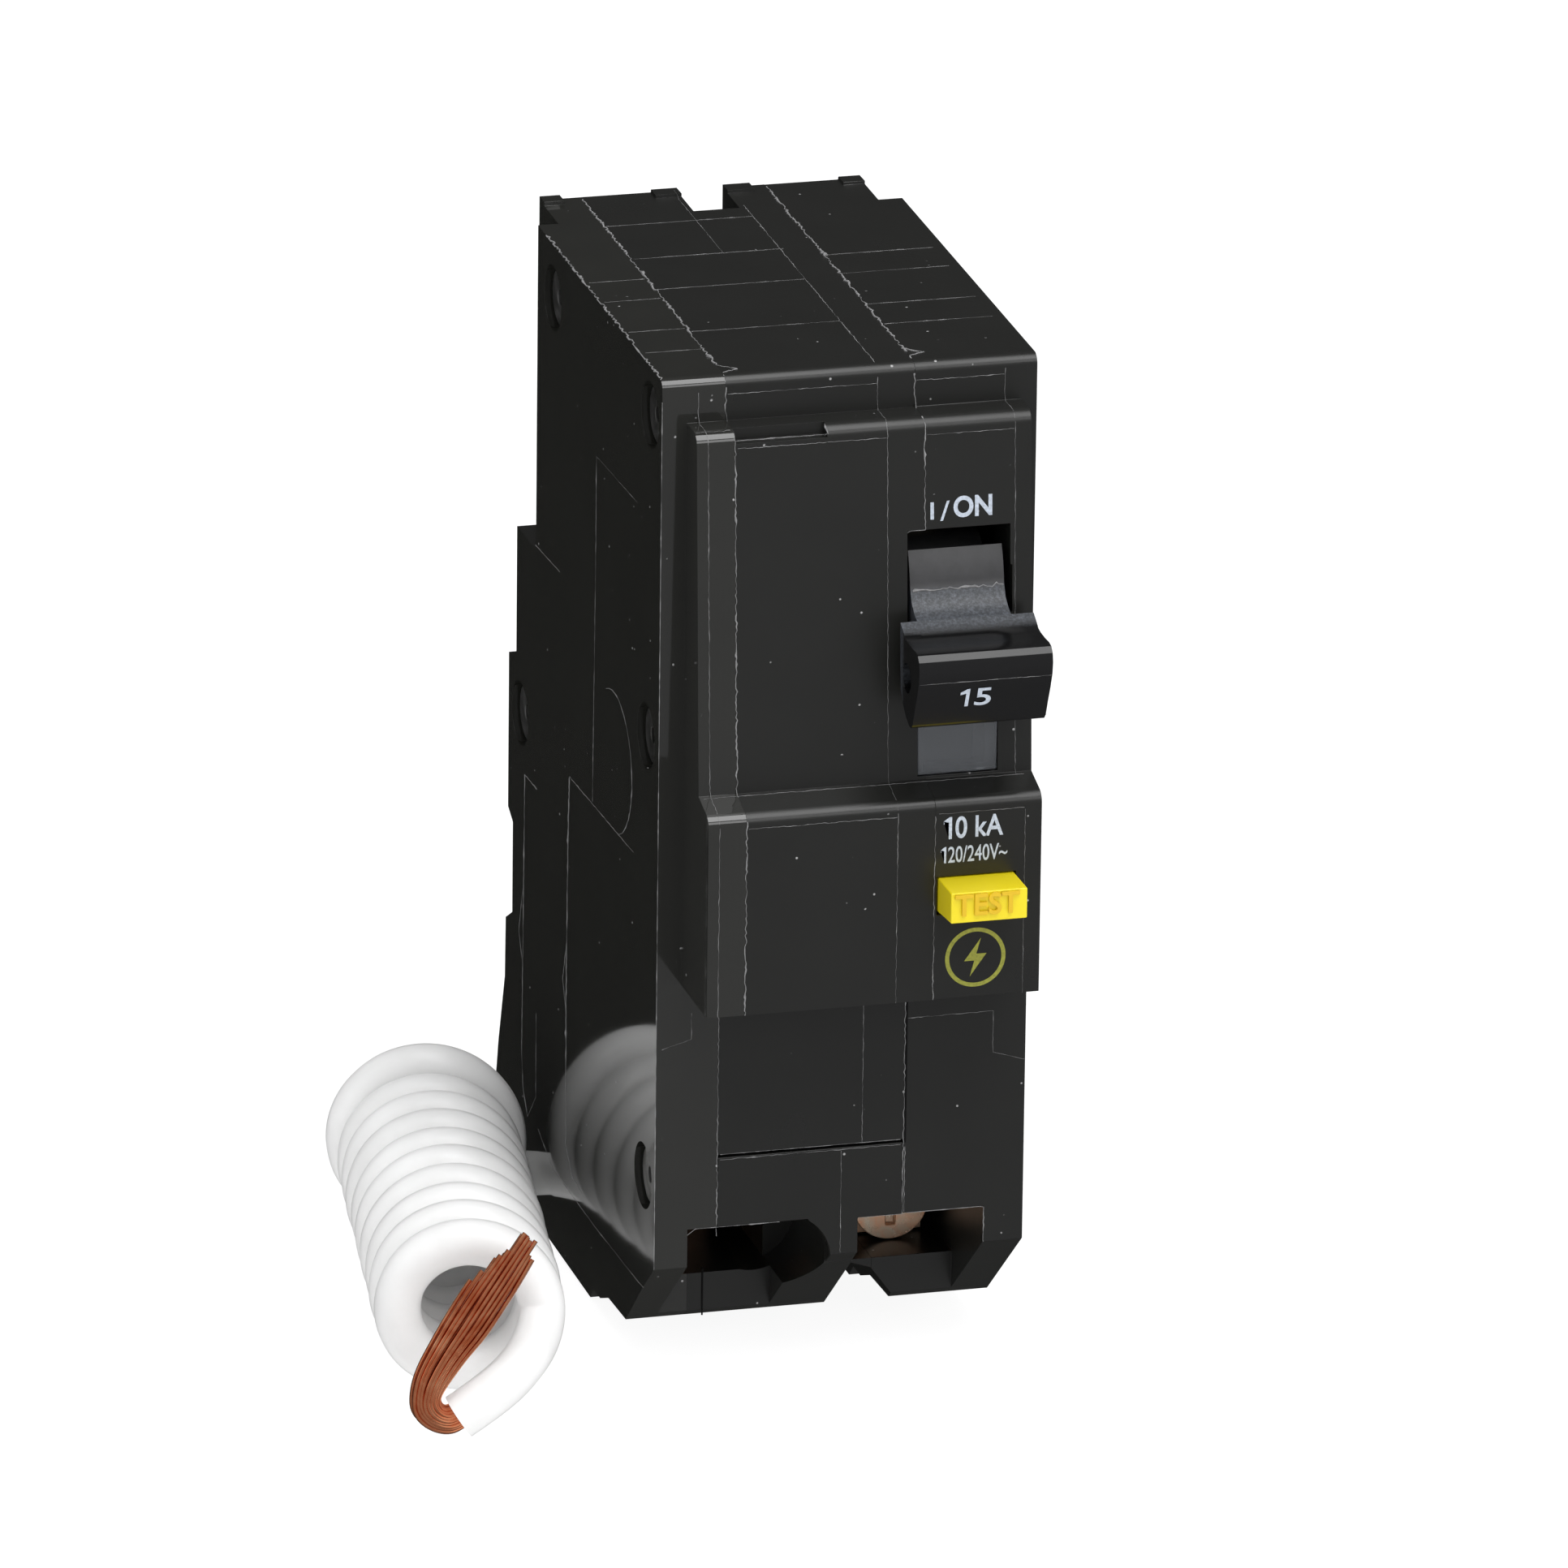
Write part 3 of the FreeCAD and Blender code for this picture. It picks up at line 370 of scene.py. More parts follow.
def remade(node, width, body="case", material=None):
    """A detailed piece in a CAD node's place: the same shape with rounded edges."""
    obj = bpy.data.objects.new(f"{node}_detail", cleaned(node))
    link(obj, body, material or MATERIALS[SLOT_OF[node]])
    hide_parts(node)
    soften(obj, width)


def curve(name, lines, radius, kind="POLY"):
    """Round wires through lists of (point, radius factor); the radius is in metres."""
    data = bpy.data.curves.new(name, "CURVE")
    data.dimensions = "3D"
    data.bevel_depth = radius
    data.bevel_resolution = 2
    data.use_fill_caps = True
    for line in lines:
        spline = data.splines.new(kind)
        spline.points.add(len(line) - 1)
        for item, (point, factor) in zip(spline.points, line):
            item.co = (*point, 1)
            item.radius = factor
        if kind == "NURBS":
            spline.order_u = 3
            spline.use_endpoint_u = True
    return bpy.data.objects.new(name, data)


# ---------------------------------------------------------------- mould flash along edges, painted gap shade and a painted highlight on the handle
FLASH_R, MOULD_R, SIDE_R = 0.06, 0.055, 0.05  # of the lines on edges, on the inserts and on the side
STEP, WANDER = 0.35, 0.08  # between the points of a line, and off it to each side
HILL_SCALE, THIN_SCALE = 0.9, 0.23  # how fast the width changes along a line, and how often it thins
LEAST, HILL, HILL_BIAS = 0.5, 0.9, 0.25  # a line's least width, and how much its hills add
THIN_BELOW, THIN = -0.18, 0.45
NUB_SHARE, NUB = 0.05, 2.0  # one point in twenty is a wider nub
END_WIDTH = 0.6


def ragged(points, strength, seed):
    """A line of flash: close points with an uneven width and a slight wander, in metres."""
    rng = random.Random(seed)
    line = []
    for start, end in zip(points, points[1:]):
        start, end = Vector(start), Vector(end)
        count = max(2, int((end - start).length / STEP))
        for i in range(count):
            spot = start.lerp(end, i / count)
            hill = noise.noise(spot * HILL_SCALE + Vector((seed, 0, 0)))
            thin = noise.noise(spot * THIN_SCALE + Vector((0, seed, 0)))
            factor = strength * (LEAST + HILL * max(0.0, hill + HILL_BIAS))
            if thin < THIN_BELOW:
                factor *= THIN
            if rng.random() < NUB_SHARE:
                factor *= NUB
            shift = Vector((rng.uniform(-1, 1), rng.uniform(-1, 1), rng.uniform(-1, 1))) * WANDER * strength
            line.append((at(*(spot + shift)), factor))
    line.append((at(*points[-1]), strength * END_WIDTH))
    return line


def surface_tree(*names):
    """A search tree over the faces of CAD nodes."""
    points, faces = [], []
    for name in names:
        mesh = nodes[name].data
        first = len(points)
        points += [v.co.copy() for v in mesh.vertices]
        faces += [[first + i for i in polygon.vertices] for polygon in mesh.polygons]
    return BVHTree.FromPolygons(points, faces)


SURFACES = {"case": surface_tree("left_cover", "centre_case", "right_cover", "terminal_insert"),
            "handle": surface_tree("handle")}
REACH = 0.0009  # in metres: a flash point further than this from the surface stays where it is
LIFT = 0.4
EDGE_BAND, FRONT_BAND = 0.15, 0.6  # a point this near the top or left face, or the front, belongs to it


def lifted(point):
    """A point moved a little outwards, so that it lands on the outer skin and not in a seam."""
    case_point = (point - ORIGIN) / MM
    on_top, on_side = case_point.z > -EDGE_BAND, case_point.x < EDGE_BAND
    on_front = case_point.y < FRONT_BAND and not on_top
    return point + Vector((-LIFT * on_side, -LIFT * on_front, LIFT * on_top)) * MM


def flash(name, rows, body="case", radius=FLASH_R):
    """One piece holding several lines of flash laid on a body (on the handle, one is a painted highlight);
    each row is (strength, points).
    """
    lines = []
    for i, (strength, points) in enumerate(rows):
        line = []
        for point, factor in ragged(points, strength, 7 * i + len(name)):
            spot = SURFACES[body].find_nearest(lifted(point), REACH)[0]
            line.append((spot or point, factor))
        lines.append(line)
    obj = curve(name, lines, radius * MM)
    obj.data.bevel_resolution = 1
    link(obj, body, FLASH_AND_HIGHLIGHT)


def front_line(x, top, foot):
    """Points down the stepped front plate at one x, between two heights."""
    points = []
    if top > PLATE_TOP:
        points += [(x, 0, top), (x, 0, PLATE_TOP), (x, PLATE_Y + 1.2, PLATE_TOP),
                   (x, PLATE_Y + 0.35, PLATE_TOP - 0.4)]
        top = PLATE_TOP - 1.3
    if top > LEDGE_BACK:
        points += [(x, plate_y(top), top), (x, plate_y(max(foot, LEDGE_BACK)), max(foot, LEDGE_BACK))]
    if foot < LEDGE_FRONT:
        points += [(x, LOWER_Y + 0.4, LEDGE_FRONT - 0.35), (x, LOWER_Y, LEDGE_FRONT - 1.3)]
        points += [(x, LOWER_Y, max(foot, PLATE_FOOT))]
    return points


def top_line(x, y0, y1):
    """A line along the top face, from front to back."""
    return [(x, y0, top_z(y0)), (x, y1, top_z(y1))]


def across(x0, x1, y, z):
    """A line from left to right."""
    return [(x0, y, z), (x1, y, z)]


SEAM_REAR, SEAM_FRONT = 56.0, 3.6  # y between which the seams run straight along the top
NOTCH_TOP = -15.8  # z where the right seam's line turns off, above the handle's window
JOG_X, JOG_Y, JOG_BACK = 1.7, 1.5, 2.2  # the seams step sideways near the top front edge


def seam_flash():
    """Flash on the two seams between the mouldings."""
    rows = []
    for x, foot in ((SEAM_1, PLATE_FOOT), (SEAM_2, NOTCH_TOP)):
        rows.append((2.0, top_line(x, SEAM_FRONT, SEAM_REAR)))
        rows.append((1.15, front_line(x, -0.9, foot)))
    for x, y in ((SEAM_1, SEAM_FRONT), (SEAM_2, SEAM_FRONT + 0.9)):
        corner = (x + JOG_X, y - JOG_Y, top_z(y - JOG_Y))
        rows.append((1.8, [(x, y, top_z(y)), corner]))
        rows.append((1.3, [corner, (x, y - JOG_BACK, top_z(y - JOG_BACK)), (x, 0.3, -0.3)]))
    rows.append((0.8, front_line(SEAM_2, LEDGE_BACK, PLATE_FOOT)[1:]))
    rows.append((0.9, [(SEAM_1, 0, PLATE_FOOT), (SEAM_1, 0, CHAMFER_Z + 3.2)]))
    rows.append((0.9, [(SEAM_2, 0, PLATE_FOOT - 1.2), (SEAM_2, 0, OPENING_TOP)]))
    rows.append((0.7, across(23.8, SEAM_2, plate_y(NOTCH_TOP), NOTCH_TOP)))
    flash("seam_flash", rows)


LEFT_LINE, MIDDLE_LINE, RIGHT_LINE = 3.65, 21.8, 34.8  # x of the lines down the front plate
LEFT_SPAN, RIGHT_SPAN = (6.6, 21.7), (25.8, 34.7)  # x between which the lines across run
HEAD_Z, PANEL_Z, FLANK_Z = -1.65, -6.0, -68.3  # z of those lines, from the top down
LEDGE_TRIM = 1.1  # of the line under the ledge, below the ledge's front
STEP_X, STEP_Z = 15.7, PLATE_TOP - 1.15  # where the front plate's raised rim steps up


def mould_lines():
    """Fine raised lines that the mould's inserts leave on the front and top."""
    panel_y, trim_z = plate_y(PANEL_Z), LEDGE_FRONT - LEDGE_TRIM
    rows = [(0.5, front_line(LEFT_LINE, -1.3, PLATE_FOOT)),
            (0.5, front_line(MIDDLE_LINE, -1.0, PLATE_FOOT)),
            (0.45, front_line(RIGHT_LINE, -1.0, LEDGE_BACK)),
            (0.35, front_line(RIGHT_LINE, LEDGE_FRONT, PLATE_FOOT)[1:]),
            (0.55, across(*LEFT_SPAN, 0, HEAD_Z)),
            (0.55, across(*RIGHT_SPAN, 0, HEAD_Z)),
            (0.6, across(LEFT_SPAN[0], STEP_X - 0.1, panel_y, PANEL_Z)),
            (0.5, across(STEP_X, LEFT_SPAN[1], panel_y, PANEL_Z)),
            (0.5, across(*RIGHT_SPAN, panel_y, PANEL_Z)),
            (0.7, across(2.9, 35.6, LEAN_Y, LEDGE_BACK)),
            (0.6, across(*LEFT_SPAN, LOWER_Y, trim_z)),
            (0.5, across(26.0, 34.7, LOWER_Y, trim_z)),
            (0.5, across(*RIGHT_SPAN, 0, FLANK_Z)),
            (0.5, [(34.7, 0, FLANK_Z), (34.7, 0, -72.7), (38.0, 0, -73.7)]),
            (0.5, [(0.6, 0, -69.5), (3.6, 0, -68.7), (3.6, 0, -65.9)]),
            (0.45, [(21.3, 0, -63.2), (21.3, 0, -81.1)]),
            (0.45, [(19.2, 0, -81.8), (19.2, 0, -92.7)]),
            (0.7, top_line(MIDDLE_LINE, 1.0, 50.8)),
            (0.4, top_line(15.9, 36.9, SEAM_REAR))]
    for x0, x1, depths, strength in ((SEAM_1 + 0.2, 21.7, (47.2, 36.7, 27.1, 13.9), 0.55),
                                     (0.5, SEAM_1 - 0.2, (30.5, 24.4, 15.0, 8.6), 0.5),
                                     (SEAM_2 + 0.2, 36.9, (33.9, 28.0, 18.3, 12.1), 0.5)):
        rows += [(strength, across(x0, x1, y, top_z(y))) for y in depths]
    flash("mould_lines", rows, radius=MOULD_R)


def edge_flash():
    """Pale worn flash on the outer edges of the mouldings and openings."""
    rim_y = PLATE_Y + 1.3
    rows = [(1.6, [(0.12, 0.6, 0.0), (0.12, 45.8, 0.75)]),
            (0.7, [(0.05, 0.35, -2.0), (0.05, 0.35, -92.8)]),
            (0.9, across(2.55, SEAM_1, rim_y, PLATE_TOP)),
            (1.0, across(6.5, STEP_X - 0.1, rim_y, STEP_Z)),
            (1.2, [(STEP_X, rim_y, STEP_Z), (STEP_X, -3.5, PLATE_TOP - 0.6), (STEP_X, -2.4, PLATE_TOP)]),
            (0.7, across(6.7, 25.3, 0, INSERT_TOP + 0.05)),
            (0.6, across(6.7, 25.3, 0, INSERT_TOP - 0.4)),
            (0.7, [(3.5, 0, -89.4), (SEAM_1, 0, -89.25)]),
            (0.8, across(SEAM_1, 12.9, 0, -89.15)),
            (0.9, [(21.0, 0, OPENING_TOP), (34.0, 0, OPENING_TOP), (34.05, 0, CHAMFER_Z)]),
            (0.6, [(25.75, 0, -82.0), (25.75, 0, -88.9)])]
    flash("edge_flash", rows)


RING_Y, RING_Z, RING_R = 17.6, -45.2, 7.3  # the round outline's middle and radius


def side_lines():
    """The outlines of the mould's inserts on the left face, as (y, z) places."""
    ring = [(RING_Y - RING_R * math.cos(math.radians(a)), RING_Z + RING_R * math.sin(math.radians(a)))
            for a in range(-75, 116, 10)]
    outlines = [
        (0.5, [(25.2, -15.7), (25.2, -27.6), (25.7, -52.3)]),
        (0.35, [(25.2, -15.7), (9.3, -15.3)]),
        (0.75, [(34.9, -52.8), (25.7, -52.5), (9.6, -52.0)]),
        (0.5, [(49.2, -32.9), (39.3, -32.5)]),
        (1.1, [(34.9, -52.8), (35.3, -59.7), (35.5, -70.8), (35.6, -78.4), (35.2, -92.6)]),
        (1.0, [(35.2, -92.6), (32.6, -95.0), (27.6, -95.4)]),
        (0.6, [(35.5, -70.8), (37.0, -75.1), (35.6, -78.4)]),
        (0.9, [(48.0, -58.6), (53.0, -58.8), (53.1, -68.2), (53.5, -89.0), (52.9, -92.6), (50.9, -95.2)]),
        (0.6, [(53.1, -70.0), (55.0, -76.3), (53.6, -79.0)]),
        (0.55, [(50.9, -95.2), (47.6, -91.9), (47.7, -82.8)]),
        (0.6, [(46.5, -95.0), (40.3, -97.1), (23.2, -97.0), (3.9, -96.3)]),
        (0.7, ring)]
    flash("side_lines", [(s, [(0, y, z) for y, z in line]) for s, line in outlines], radius=SIDE_R)


GAP_R = 0.09
GAP_X = SEAM_2 + 0.17
SILL_X, SILL_Y = 8.0, 11.15  # on the front of the left opening's sill


def gaps():
    """Painted shade for two open gaps, near-black lines for their unlit inside: beside the right seam under
    the front plate, and in the left sill.
    """
    rows = [[(GAP_X, 0, -63.4), (GAP_X, 0, INSERT_TOP - 0.2)],
            [(SILL_X, SILL_Y, -97.6), (SILL_X, SILL_Y, -102.6)]]
    lines = [[(at(*point), 1.0) for point in row] for row in rows]
    link(curve("seam_gap_shade", lines, GAP_R * MM), "case", GAP_SHADE)


def handle_lines():
    """A painted highlight, a strong pale line where the drum meets the web, and the paddle's parting line.
    """
    # The first row is a painted highlight where the drum's edge shines; the second is the paddle's real
    # parting line
    flash("handle_lines", [(1.5, across(24.4, 33.7, -4.32, -21.75)),
                           (0.5, across(22.6, 36.0, -13.98, -28.5))], body="handle")


# ---------------------------------------------------------------- case and fittings
def case():
    """The mouldings and the terminal insert, with softened edges."""
    remade("left_cover", 0.55, material=SIDE_BLACK)
    remade("centre_case", 0.5)
    remade("right_cover", 0.55)
    remade("terminal_insert", 0.2)


def fittings():
    """What moves, shines or shows through the case's openings, with softened edges."""
    remade("handle", 0.35, body="handle")
    remade("indicator_lens", 0.2)
    remade("test_button", 0.6, body="test_button")
    remade("rivets", 0.12, material=DULL_STEEL)
    for node in ("terminal_screws", "clamp_plates", "line_jaw_a", "line_jaw_b",
                 "load_lug_a", "load_lug_b"):
        remade(node, 0.12)


def inner_nodes():
    """The pieces inside that still stand as in the CAD take their slots' finishes."""
    for name, obj in nodes.items():
        if obj.hide_render:
            continue
        obj.data.materials.clear()
        obj.data.materials.append(MATERIALS[SLOT_OF[name]])


# ---------------------------------------------------------------- prints
INK_LIFT = 0.02  # of the ink above its surface
TEXT_SIZE = 10.0  # of the letters before they are stretched
# The paddle's front from its ridge down, as (z, y)
PADDLE_FRONT = [(-26.2, -13.95), (-27.1, -14.15), (-28.3, -14.0), (-29.9, -13.4), (-31.6, -12.6),
                (-33.3, -11.9)]


def paddle_y(z):
    """The paddle's front surface at a height."""
    for (z0, y0), (z1, y1) in zip(PADDLE_FRONT, PADDLE_FRONT[1:]):
        if z1 <= z <= z0:
            return y0 + (y1 - y0) * (z0 - z) / (z0 - z1)
    return PADDLE_FRONT[-1][1]


def lettering(name, text, x, z, height, width, y_of, material, body="case", bold=0.0, raised=INK_LIFT,
              thick=0.0):
    """Words on a front face: a text curve stretched to a height and width, in millimetres."""
    data = bpy.data.curves.new(name, "FONT")
    data.body = text
    data.size = TEXT_SIZE
    data.offset = bold
    data.extrude = thick
    data.resolution_u = 6
    probe = bpy.data.objects.new(name, data)
    scene.collection.objects.link(probe)
    bpy.context.view_layer.update()
    mesh = bpy.data.meshes.new_from_object(probe.evaluated_get(bpy.context.evaluated_depsgraph_get()))
    bpy.data.objects.remove(probe)
    xs = [v.co.x for v in mesh.vertices]
    ys = [v.co.y for v in mesh.vertices]
    across_scale, up_scale = width / (max(xs) - min(xs)), height / (max(ys) - min(ys))
    for vertex in mesh.vertices:
        px = x + (vertex.co.x - min(xs)) * across_scale
        pz = z + (vertex.co.y - min(ys)) * up_scale
        back = vertex.co.z if thick else 0.0
        vertex.co = at(px, y_of(pz) - raised - back, pz)
    link(bpy.data.objects.new(name, mesh), body, material)


# The outline of a 1 with its flag, as shares of its width and height
ONE = [(0.62, 0), (1, 0), (1, 1), (0.72, 1), (0, 0.82), (0, 0.68), (0.62, 0.75)]


def digit_one(name, x, z, height, width, y_of, body="case"):
    """A printed 1 with its flag."""
    bm = bmesh.new()
    places = [(x + a * width, z + b * height) for a, b in ONE]
    bm.faces.new([bm.verts.new(at(px, y_of(pz) - INK_LIFT, pz)) for px, pz in places])
    bmesh.ops.triangulate(bm, faces=bm.faces)
    mesh = bpy.data.meshes.new(name)
    bm.to_mesh(mesh)
    bm.free()
    link(bpy.data.objects.new(name, mesh), body, INK)


def lower(z):
    """The lower step's surface, the same at every height."""
    return LOWER_Y


def prints():
    """The generic words and numbers, in ink, and the raised word on the button, darker than the button as
    painted shade.

    The numbers are each print's left and lower edges, x and z, and its height and width.
    """
    lettering("print_i", "I", 26.15, -14.65, 1.75, 0.35, plate_y, INK)
    lettering("print_stroke", "/", 27.15, -14.85, 2.0, 0.95, plate_y, INK, bold=0.05)
    lettering("print_on", "ON", 28.5, -14.65, 2.2, 3.95, plate_y, INK, bold=0.3)
    digit_one("print_amps_1", 26.9, -31.3, 2.1, 0.95, paddle_y, body="handle")
    lettering("print_amps", "5", 28.45, -31.3, 2.1, 1.65, paddle_y, INK, body="handle", bold=0.12)
    digit_one("print_rating_1", 26.45, -46.1, 2.3, 0.85, lower)
    lettering("print_rating", "0 kA", 27.65, -46.1, 2.3, 4.9, lower, INK, bold=0.16)
    digit_one("print_voltage_1", 26.2, -48.6, 1.7, 0.55, lower)
    lettering("print_voltage", "20/240V~", 26.95, -48.6, 1.7, 6.05, lower, INK, bold=0.08)
    lettering("raised_word", "TEST", 26.35, -52.5, 2.3, 6.6, lambda z: BUTTON_Y,
              SHADED_LETTER_YELLOW, body="test_button", bold=0.2, raised=0.2, thick=0.1)


MARK_X, MARK_Z, MARK_R, MARK_BAND = 29.9, -58.7, 3.1, 0.42
MARK_SIDES = 64
BOLT = [(0.55, 2.0), (-1.15, -0.35), (-0.1, -0.35), (-0.55, -2.0), (1.15, 0.35), (0.1, 0.35)]


def mark():
    """A plain round mark with a bolt, in place of the maker's own."""
    bm = bmesh.new()

    def vertex(x, z):
        """A point of the mark, from its own middle."""
        return bm.verts.new(at(MARK_X + x, LOWER_Y - INK_LIFT, MARK_Z + z))

    rings = [[vertex(r * math.cos(math.tau * i / MARK_SIDES), r * math.sin(math.tau * i / MARK_SIDES))
              for i in range(MARK_SIDES)] for r in (MARK_R, MARK_R - MARK_BAND)]
    for i in range(MARK_SIDES):
        j = (i + 1) % MARK_SIDES
        bm.faces.new((rings[0][i], rings[1][i], rings[1][j], rings[0][j]))
    bm.faces.new([vertex(x, z) for x, z in BOLT])
    mesh = bpy.data.meshes.new("round_mark")
    bm.to_mesh(mesh)
    bm.free()
    link(bpy.data.objects.new("round_mark", mesh), "case", MARK_INK)


# ---------------------------------------------------------------- neutral wire
WIRE_D = 4.7
COIL_R = 7.15  # to the middle of the wire
FLOOR_Z, FLOOR_GAP = -106.2, 0.1
COIL_TURNS = 9.75
COIL_NEAR, COIL_FAR = (-18.2, 2.1), (-10.7, 51.9)  # (x, y) of the ends of the coil's axis
LOOSE_R = 1.25  # how far the first turn, next to the lead, stands out
UNEVEN = 0.06
POINTS_PER_TURN = 16
# The wire's way from inside the case to the coil, and from the coil to its cut end
LEAD = [(7.0, 53.4, -102.2), (3.0, 53.4, -102.2), (-1.5, 53.2, -102.5), (-5.6, 52.6, -103.2)]
TAIL = [(-12.4, -1.5, -98.8), (-15.0, -5.0, -100.0), (-18.3, -7.2, -101.6), (-21.7, -6.9, -103.85)]


def coil_points():
    """The coil's control points: clockwise turns from the far end's floor side to the tail."""
    near, far = Vector((*COIL_NEAR, 0)), Vector((*COIL_FAR, 0))
    side = Vector((0, 0, 1)).cross((near - far).normalized())
    if side.x < 0:
        side = -side
    count = int(COIL_TURNS * POINTS_PER_TURN)
    swell = 1 / math.cos(math.pi / POINTS_PER_TURN)
    axis_z = FLOOR_Z + FLOOR_GAP + WIRE_D / 2 + COIL_R
    points = []
    for i in range(count + 1):
        turn = i / POINTS_PER_TURN
        angle = -math.pi / 2 - math.tau * turn
        radius = COIL_R * swell
        if turn < 1:
            radius += LOOSE_R * math.sin(math.pi * turn) ** 2
        radius += UNEVEN * math.sin(2.3 * turn + 1)
        centre = far.lerp(near, turn / COIL_TURNS)
        spot = centre + side * (radius * math.cos(angle))
        points.append((spot.x, spot.y, axis_z + radius * math.sin(angle)))
    return points


def neutral_wire():
    """The insulated wire as one curve: lead, coil and free end."""
    route = LEAD + coil_points() + TAIL
    obj = curve("neutral_wire", [[(at(*p), 1.0) for p in route]], WIRE_D / 2 * MM, kind="NURBS")
    obj.data.bevel_resolution = 6
    obj.data.resolution_u = 6
    link(obj, "case", MATERIALS["white_insulation"])
    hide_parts("pigtail_lead", "pigtail_coil", "pigtail_tail")
    return obj


STRAND_R = 0.235
STRAND_COUNT, PER_LAYER = 19, 9
LAYER_DEPTH, LAYER_STAGGER = 0.5, 0.5  # a layer's distance behind the last, and its shift in columns
SHARE_SPAN = 8.4  # columns between the bundle's outer and inner edges
JITTER = 0.12
TIP_JITTER, TIP_STEP = (-0.18, 0.1), 0.2  # uneven tips, and how much shorter each layer is
# The bundle's outer and inner edges, from inside the wire's end, round the fold and up to the tips
OUTER = [(-19.8, -6.5, -104.1), (-21.5, -6.9, -105.2), (-23.3, -7.6, -105.2), (-25.3, -8.1, -104.2),
         (-26.6, -8.2, -102.6), (-26.5, -8.0, -100.5), (-25.8, -7.7, -98.5), (-24.4, -7.3, -96.2),
         (-22.8, -6.9, -93.7), (-21.2, -6.4, -91.5), (-19.3, -6.0, -89.0), (-16.9, -5.5, -86.2),
         (-15.2, -5.2, -84.1)]
INNER = [(-20.9, -6.6, -102.4), (-22.6, -6.9, -102.9), (-23.3, -7.3, -102.7), (-23.8, -7.6, -102.0),
         (-23.8, -7.7, -101.2), (-23.3, -7.6, -100.3), (-22.3, -7.4, -99.0), (-20.9, -7.1, -97.4),
         (-19.0, -6.7, -95.7), (-17.1, -6.2, -93.4), (-15.2, -5.6, -91.0), (-13.5, -5.0, -88.5),
         (-11.9, -4.7, -86.3)]
# How far along those points each column of strands reaches
STRAND_ENDS = [10.0, 10.6, 10.9, 11.6, 11.7, 11.7, 11.5, 11.0, 11.05]


def strands():
    """Bare strands folded back over the wire's cut end, in flat layers of nine."""
    rng = random.Random(5)
    lines = []
    for i in range(STRAND_COUNT):
        layer, column = divmod(i, PER_LAYER)
        share = (column + LAYER_STAGGER * (layer % 2) + rng.uniform(-JITTER, JITTER)) / SHARE_SPAN
        end = STRAND_ENDS[column] + rng.uniform(*TIP_JITTER) - TIP_STEP * layer
        depth = LAYER_DEPTH * (layer + math.sin(math.pi * share) * (layer - 0.5))
        sway = rng.uniform(-JITTER, JITTER)
        points = []
        for k in range(int(end) + 2):
            t = min(k, end)
            low = min(int(t), len(OUTER) - 2)
            outer = Vector(OUTER[low]).lerp(Vector(OUTER[low + 1]), t - low)
            inner = Vector(INNER[low]).lerp(Vector(INNER[low + 1]), t - low)
            spot = outer.lerp(inner, share) + Vector((sway * math.sin(0.7 * k), depth, 0))
            spot.z = max(spot.z, FLOOR_Z + FLOOR_GAP + STRAND_R)
            points.append((at(*spot), 1.0))
        lines.append(points)
    obj = curve("neutral_strands", lines, STRAND_R * MM, kind="NURBS")
    obj.data.bevel_resolution = 3
    obj.data.resolution_u = 8
    link(obj, "case", MATERIALS["bare_copper"])
    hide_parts("pigtail_strands")
    return obj


def measured(obj):
    """The length of a curve's own line, in metres."""
    plain = obj.copy()
    plain.data = obj.data.copy()
    plain.data.bevel_depth = 0
    scene.collection.objects.link(plain)
    bpy.context.view_layer.update()
    mesh = bpy.data.meshes.new_from_object(plain.evaluated_get(bpy.context.evaluated_depsgraph_get()))
    points = [v.co.copy() for v in mesh.vertices]
    bpy.data.objects.remove(plain)
    return sum((b - a).length for a, b in zip(points, points[1:]))


# ---------------------------------------------------------------- stage
def area_light(name, place, target, size, radiance, glossy):
    """A soft light; radiance is how bright its face would look."""
    data = bpy.data.lights.new(name, "AREA")
    data.shape = "RECTANGLE"
    data.size, data.size_y = size
    data.energy = radiance * math.pi * size[0] * size[1]
    obj = bpy.data.objects.new(name, data)
    obj.location = place
    obj.rotation_euler = (Vector(target) - Vector(place)).to_track_quat("-Z", "Y").to_euler()
    obj.visible_camera = False
    obj.visible_glossy = glossy
    scene.collection.objects.link(obj)


def surround():
    """A dim studio for the gloss to mirror: dark behind and below, grey in front and above."""
    world = bpy.data.worlds.new("surround")
    scene.world = world
    world.use_nodes = True
    tree = world.node_tree
    place = tree.nodes.new("ShaderNodeTexCoord")
    dot = tree.nodes.new("ShaderNodeVectorMath")
    dot.operation = "DOT_PRODUCT"
    dot.inputs[1].default_value = (0.0, -0.45, 0.15)
    shift = tree.nodes.new("ShaderNodeMath")
    shift.inputs[1].default_value = 0.5
    ramp = tree.nodes.new("ShaderNodeValToRGB")
    elements = ramp.color_ramp.elements
    elements[0].position, elements[0].color = 0.05, (0.012, 0.012, 0.012, 1)
    elements[1].position, elements[1].color = 0.86, (0.34, 0.34, 0.35, 1)
    middle = elements.new(0.16)
    middle.color = (0.06, 0.06, 0.061, 1)
    tree.links.new(place.outputs["Generated"], dot.inputs[0])
    tree.links.new(dot.outputs["Value"], shift.inputs[0])
    tree.links.new(shift.outputs["Value"], ramp.inputs["Fac"])
    tree.links.new(ramp.outputs["Color"], tree.nodes["Background"].inputs["Color"])
    tree.nodes["Background"].inputs["Strength"].default_value = 1.0


FLOOR_HALF, FLOOR_DROP = 6.0, 0.0002  # in metres, as are the lights' places and sizes
FLOOR_GLOW = 0.92
MIDDLE, TENT_MIDDLE = (0, 0, 0.05), (0, 0, 0.75)
TENT_WALL = (3.4, 1.5)
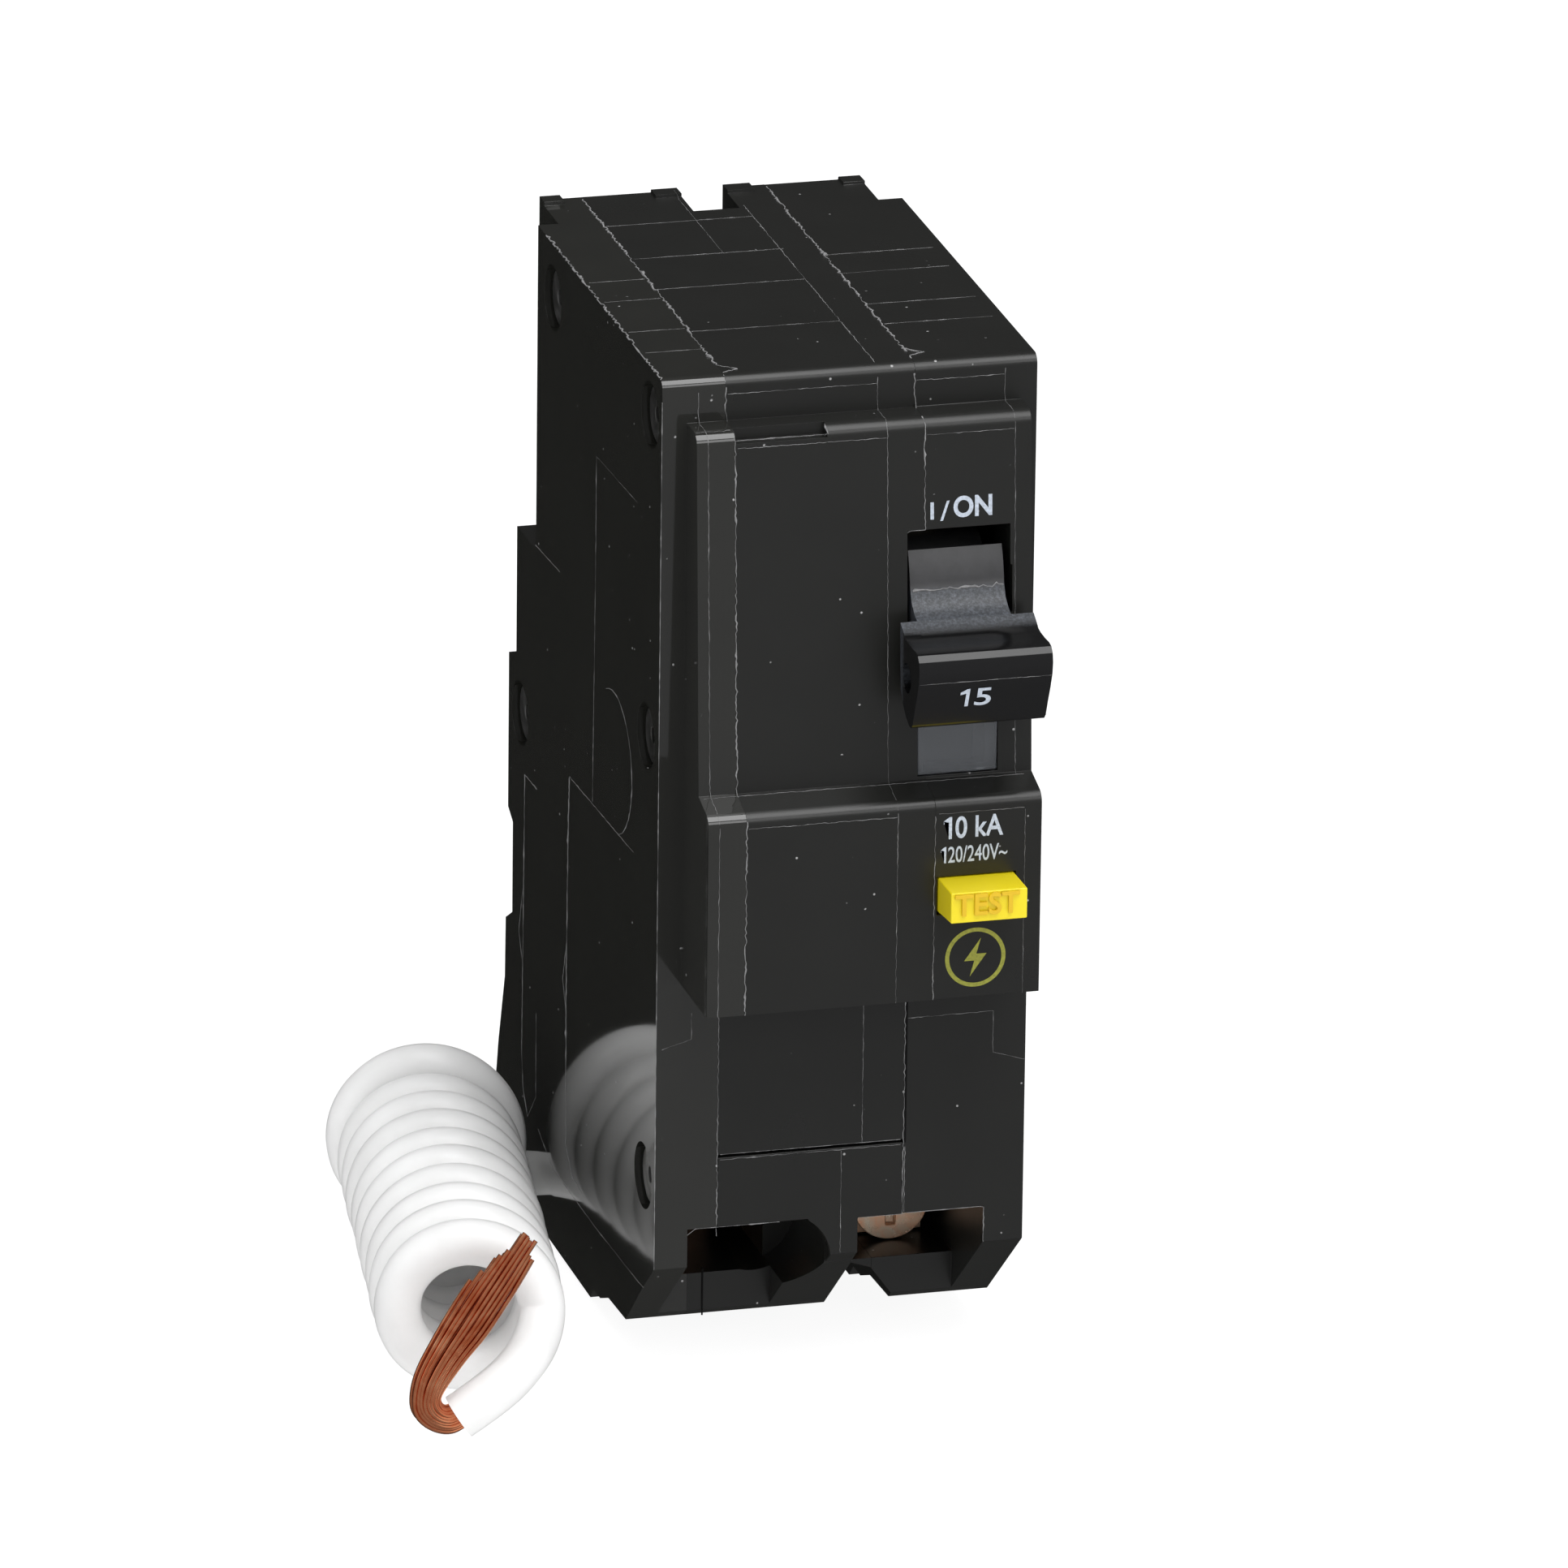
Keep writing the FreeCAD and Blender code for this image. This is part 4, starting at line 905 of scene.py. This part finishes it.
# name, place, target, size, radiance, whether gloss mirrors it
LIGHTS = (("tent_top", (0, 0, 1.9), MIDDLE, (3.4, 3.4), 0.70, False),
          ("tent_left", (-1.8, 0, 0.75), TENT_MIDDLE, TENT_WALL, 0.20, False),
          ("tent_right", (1.8, 0, 0.75), TENT_MIDDLE, TENT_WALL, 0.75, False),
          ("tent_front", (0, -1.8, 0.75), TENT_MIDDLE, TENT_WALL, 0.40, False),
          ("tent_back", (0, 1.8, 0.75), TENT_MIDDLE, TENT_WALL, 0.45, False),
          ("overhead", (0.10, -0.35, 1.0), (0, 0, 0.06), (0.5, 0.9), 4.5, True),
          ("front_soft", (0.25, -1.1, 0.7), MIDDLE, (0.5, 0.4), 2.5, True),
          ("left_soft", (-0.9, -0.35, 0.45), (0, 0, 0.04), (0.4, 0.4), 0.6, True))


def stage():
    """A plain white floor that runs to the horizon, in a tent of soft light."""
    mesh = bpy.data.meshes.new("floor")
    half = FLOOR_HALF
    mesh.from_pydata([(-half, -half, 0), (half, -half, 0), (half, half, 0), (-half, half, 0)], [],
                     [(0, 1, 2, 3)])
    floor = bpy.data.objects.new("floor", mesh)
    floor.location.z = -FLOOR_DROP
    scene.collection.objects.link(floor)
    n = Nodes("floor_white")
    n.link(n.mix(n.noise(scale=3, detail=2), (0.19, 0.19, 0.19), (0.21, 0.21, 0.21)),
           n.shader.inputs["Base Color"])
    n.set(roughness=0.8, specular_ior_level=0.1)
    n.shader.inputs["Emission Color"].default_value = (1, 1, 1, 1)
    n.shader.inputs["Emission Strength"].default_value = FLOOR_GLOW
    mesh.materials.append(n.material)
    floor.visible_glossy = False
    surround()
    for light in LIGHTS:
        area_light(*light)


# ---------------------------------------------------------------- camera
AZIMUTH, ELEVATION, ROLL = math.radians(-15.38), math.radians(19.50), math.radians(0.71)
AIM = Vector((-0.00113, -0.00618, 0.05664))
DISTANCE = 1.6221  # in metres
LENS, SENSOR = 372.67, 36.0  # in millimetres


def camera():
    """A long lens from the left and a little above, turned by a slight roll."""
    data = bpy.data.cameras.new("camera")
    data.lens = LENS
    data.sensor_width = SENSOR
    data.clip_start, data.clip_end = 0.05, 50
    obj = bpy.data.objects.new("camera", data)
    scene.collection.objects.link(obj)
    back = Vector((math.sin(AZIMUTH) * math.cos(ELEVATION), -math.cos(AZIMUTH) * math.cos(ELEVATION),
                   math.sin(ELEVATION)))
    level = Vector((0, 0, 1)).cross(back).normalized()
    upright = back.cross(level)
    right = level * math.cos(ROLL) + upright * math.sin(ROLL)
    up = upright * math.cos(ROLL) - level * math.sin(ROLL)
    turn = Matrix((right, up, back)).transposed().to_4x4()
    obj.matrix_world = Matrix.Translation(AIM + back * DISTANCE) @ turn
    scene.camera = obj


# ---------------------------------------------------------------- build
case()
fittings()
seam_flash()
mould_lines()
edge_flash()
side_lines()
gaps()
handle_lines()
prints()
mark()
wire = neutral_wire()
bundle = strands()
inner_nodes()
measured(wire)
stage()
camera()
scene.view_settings.view_transform = "Standard"
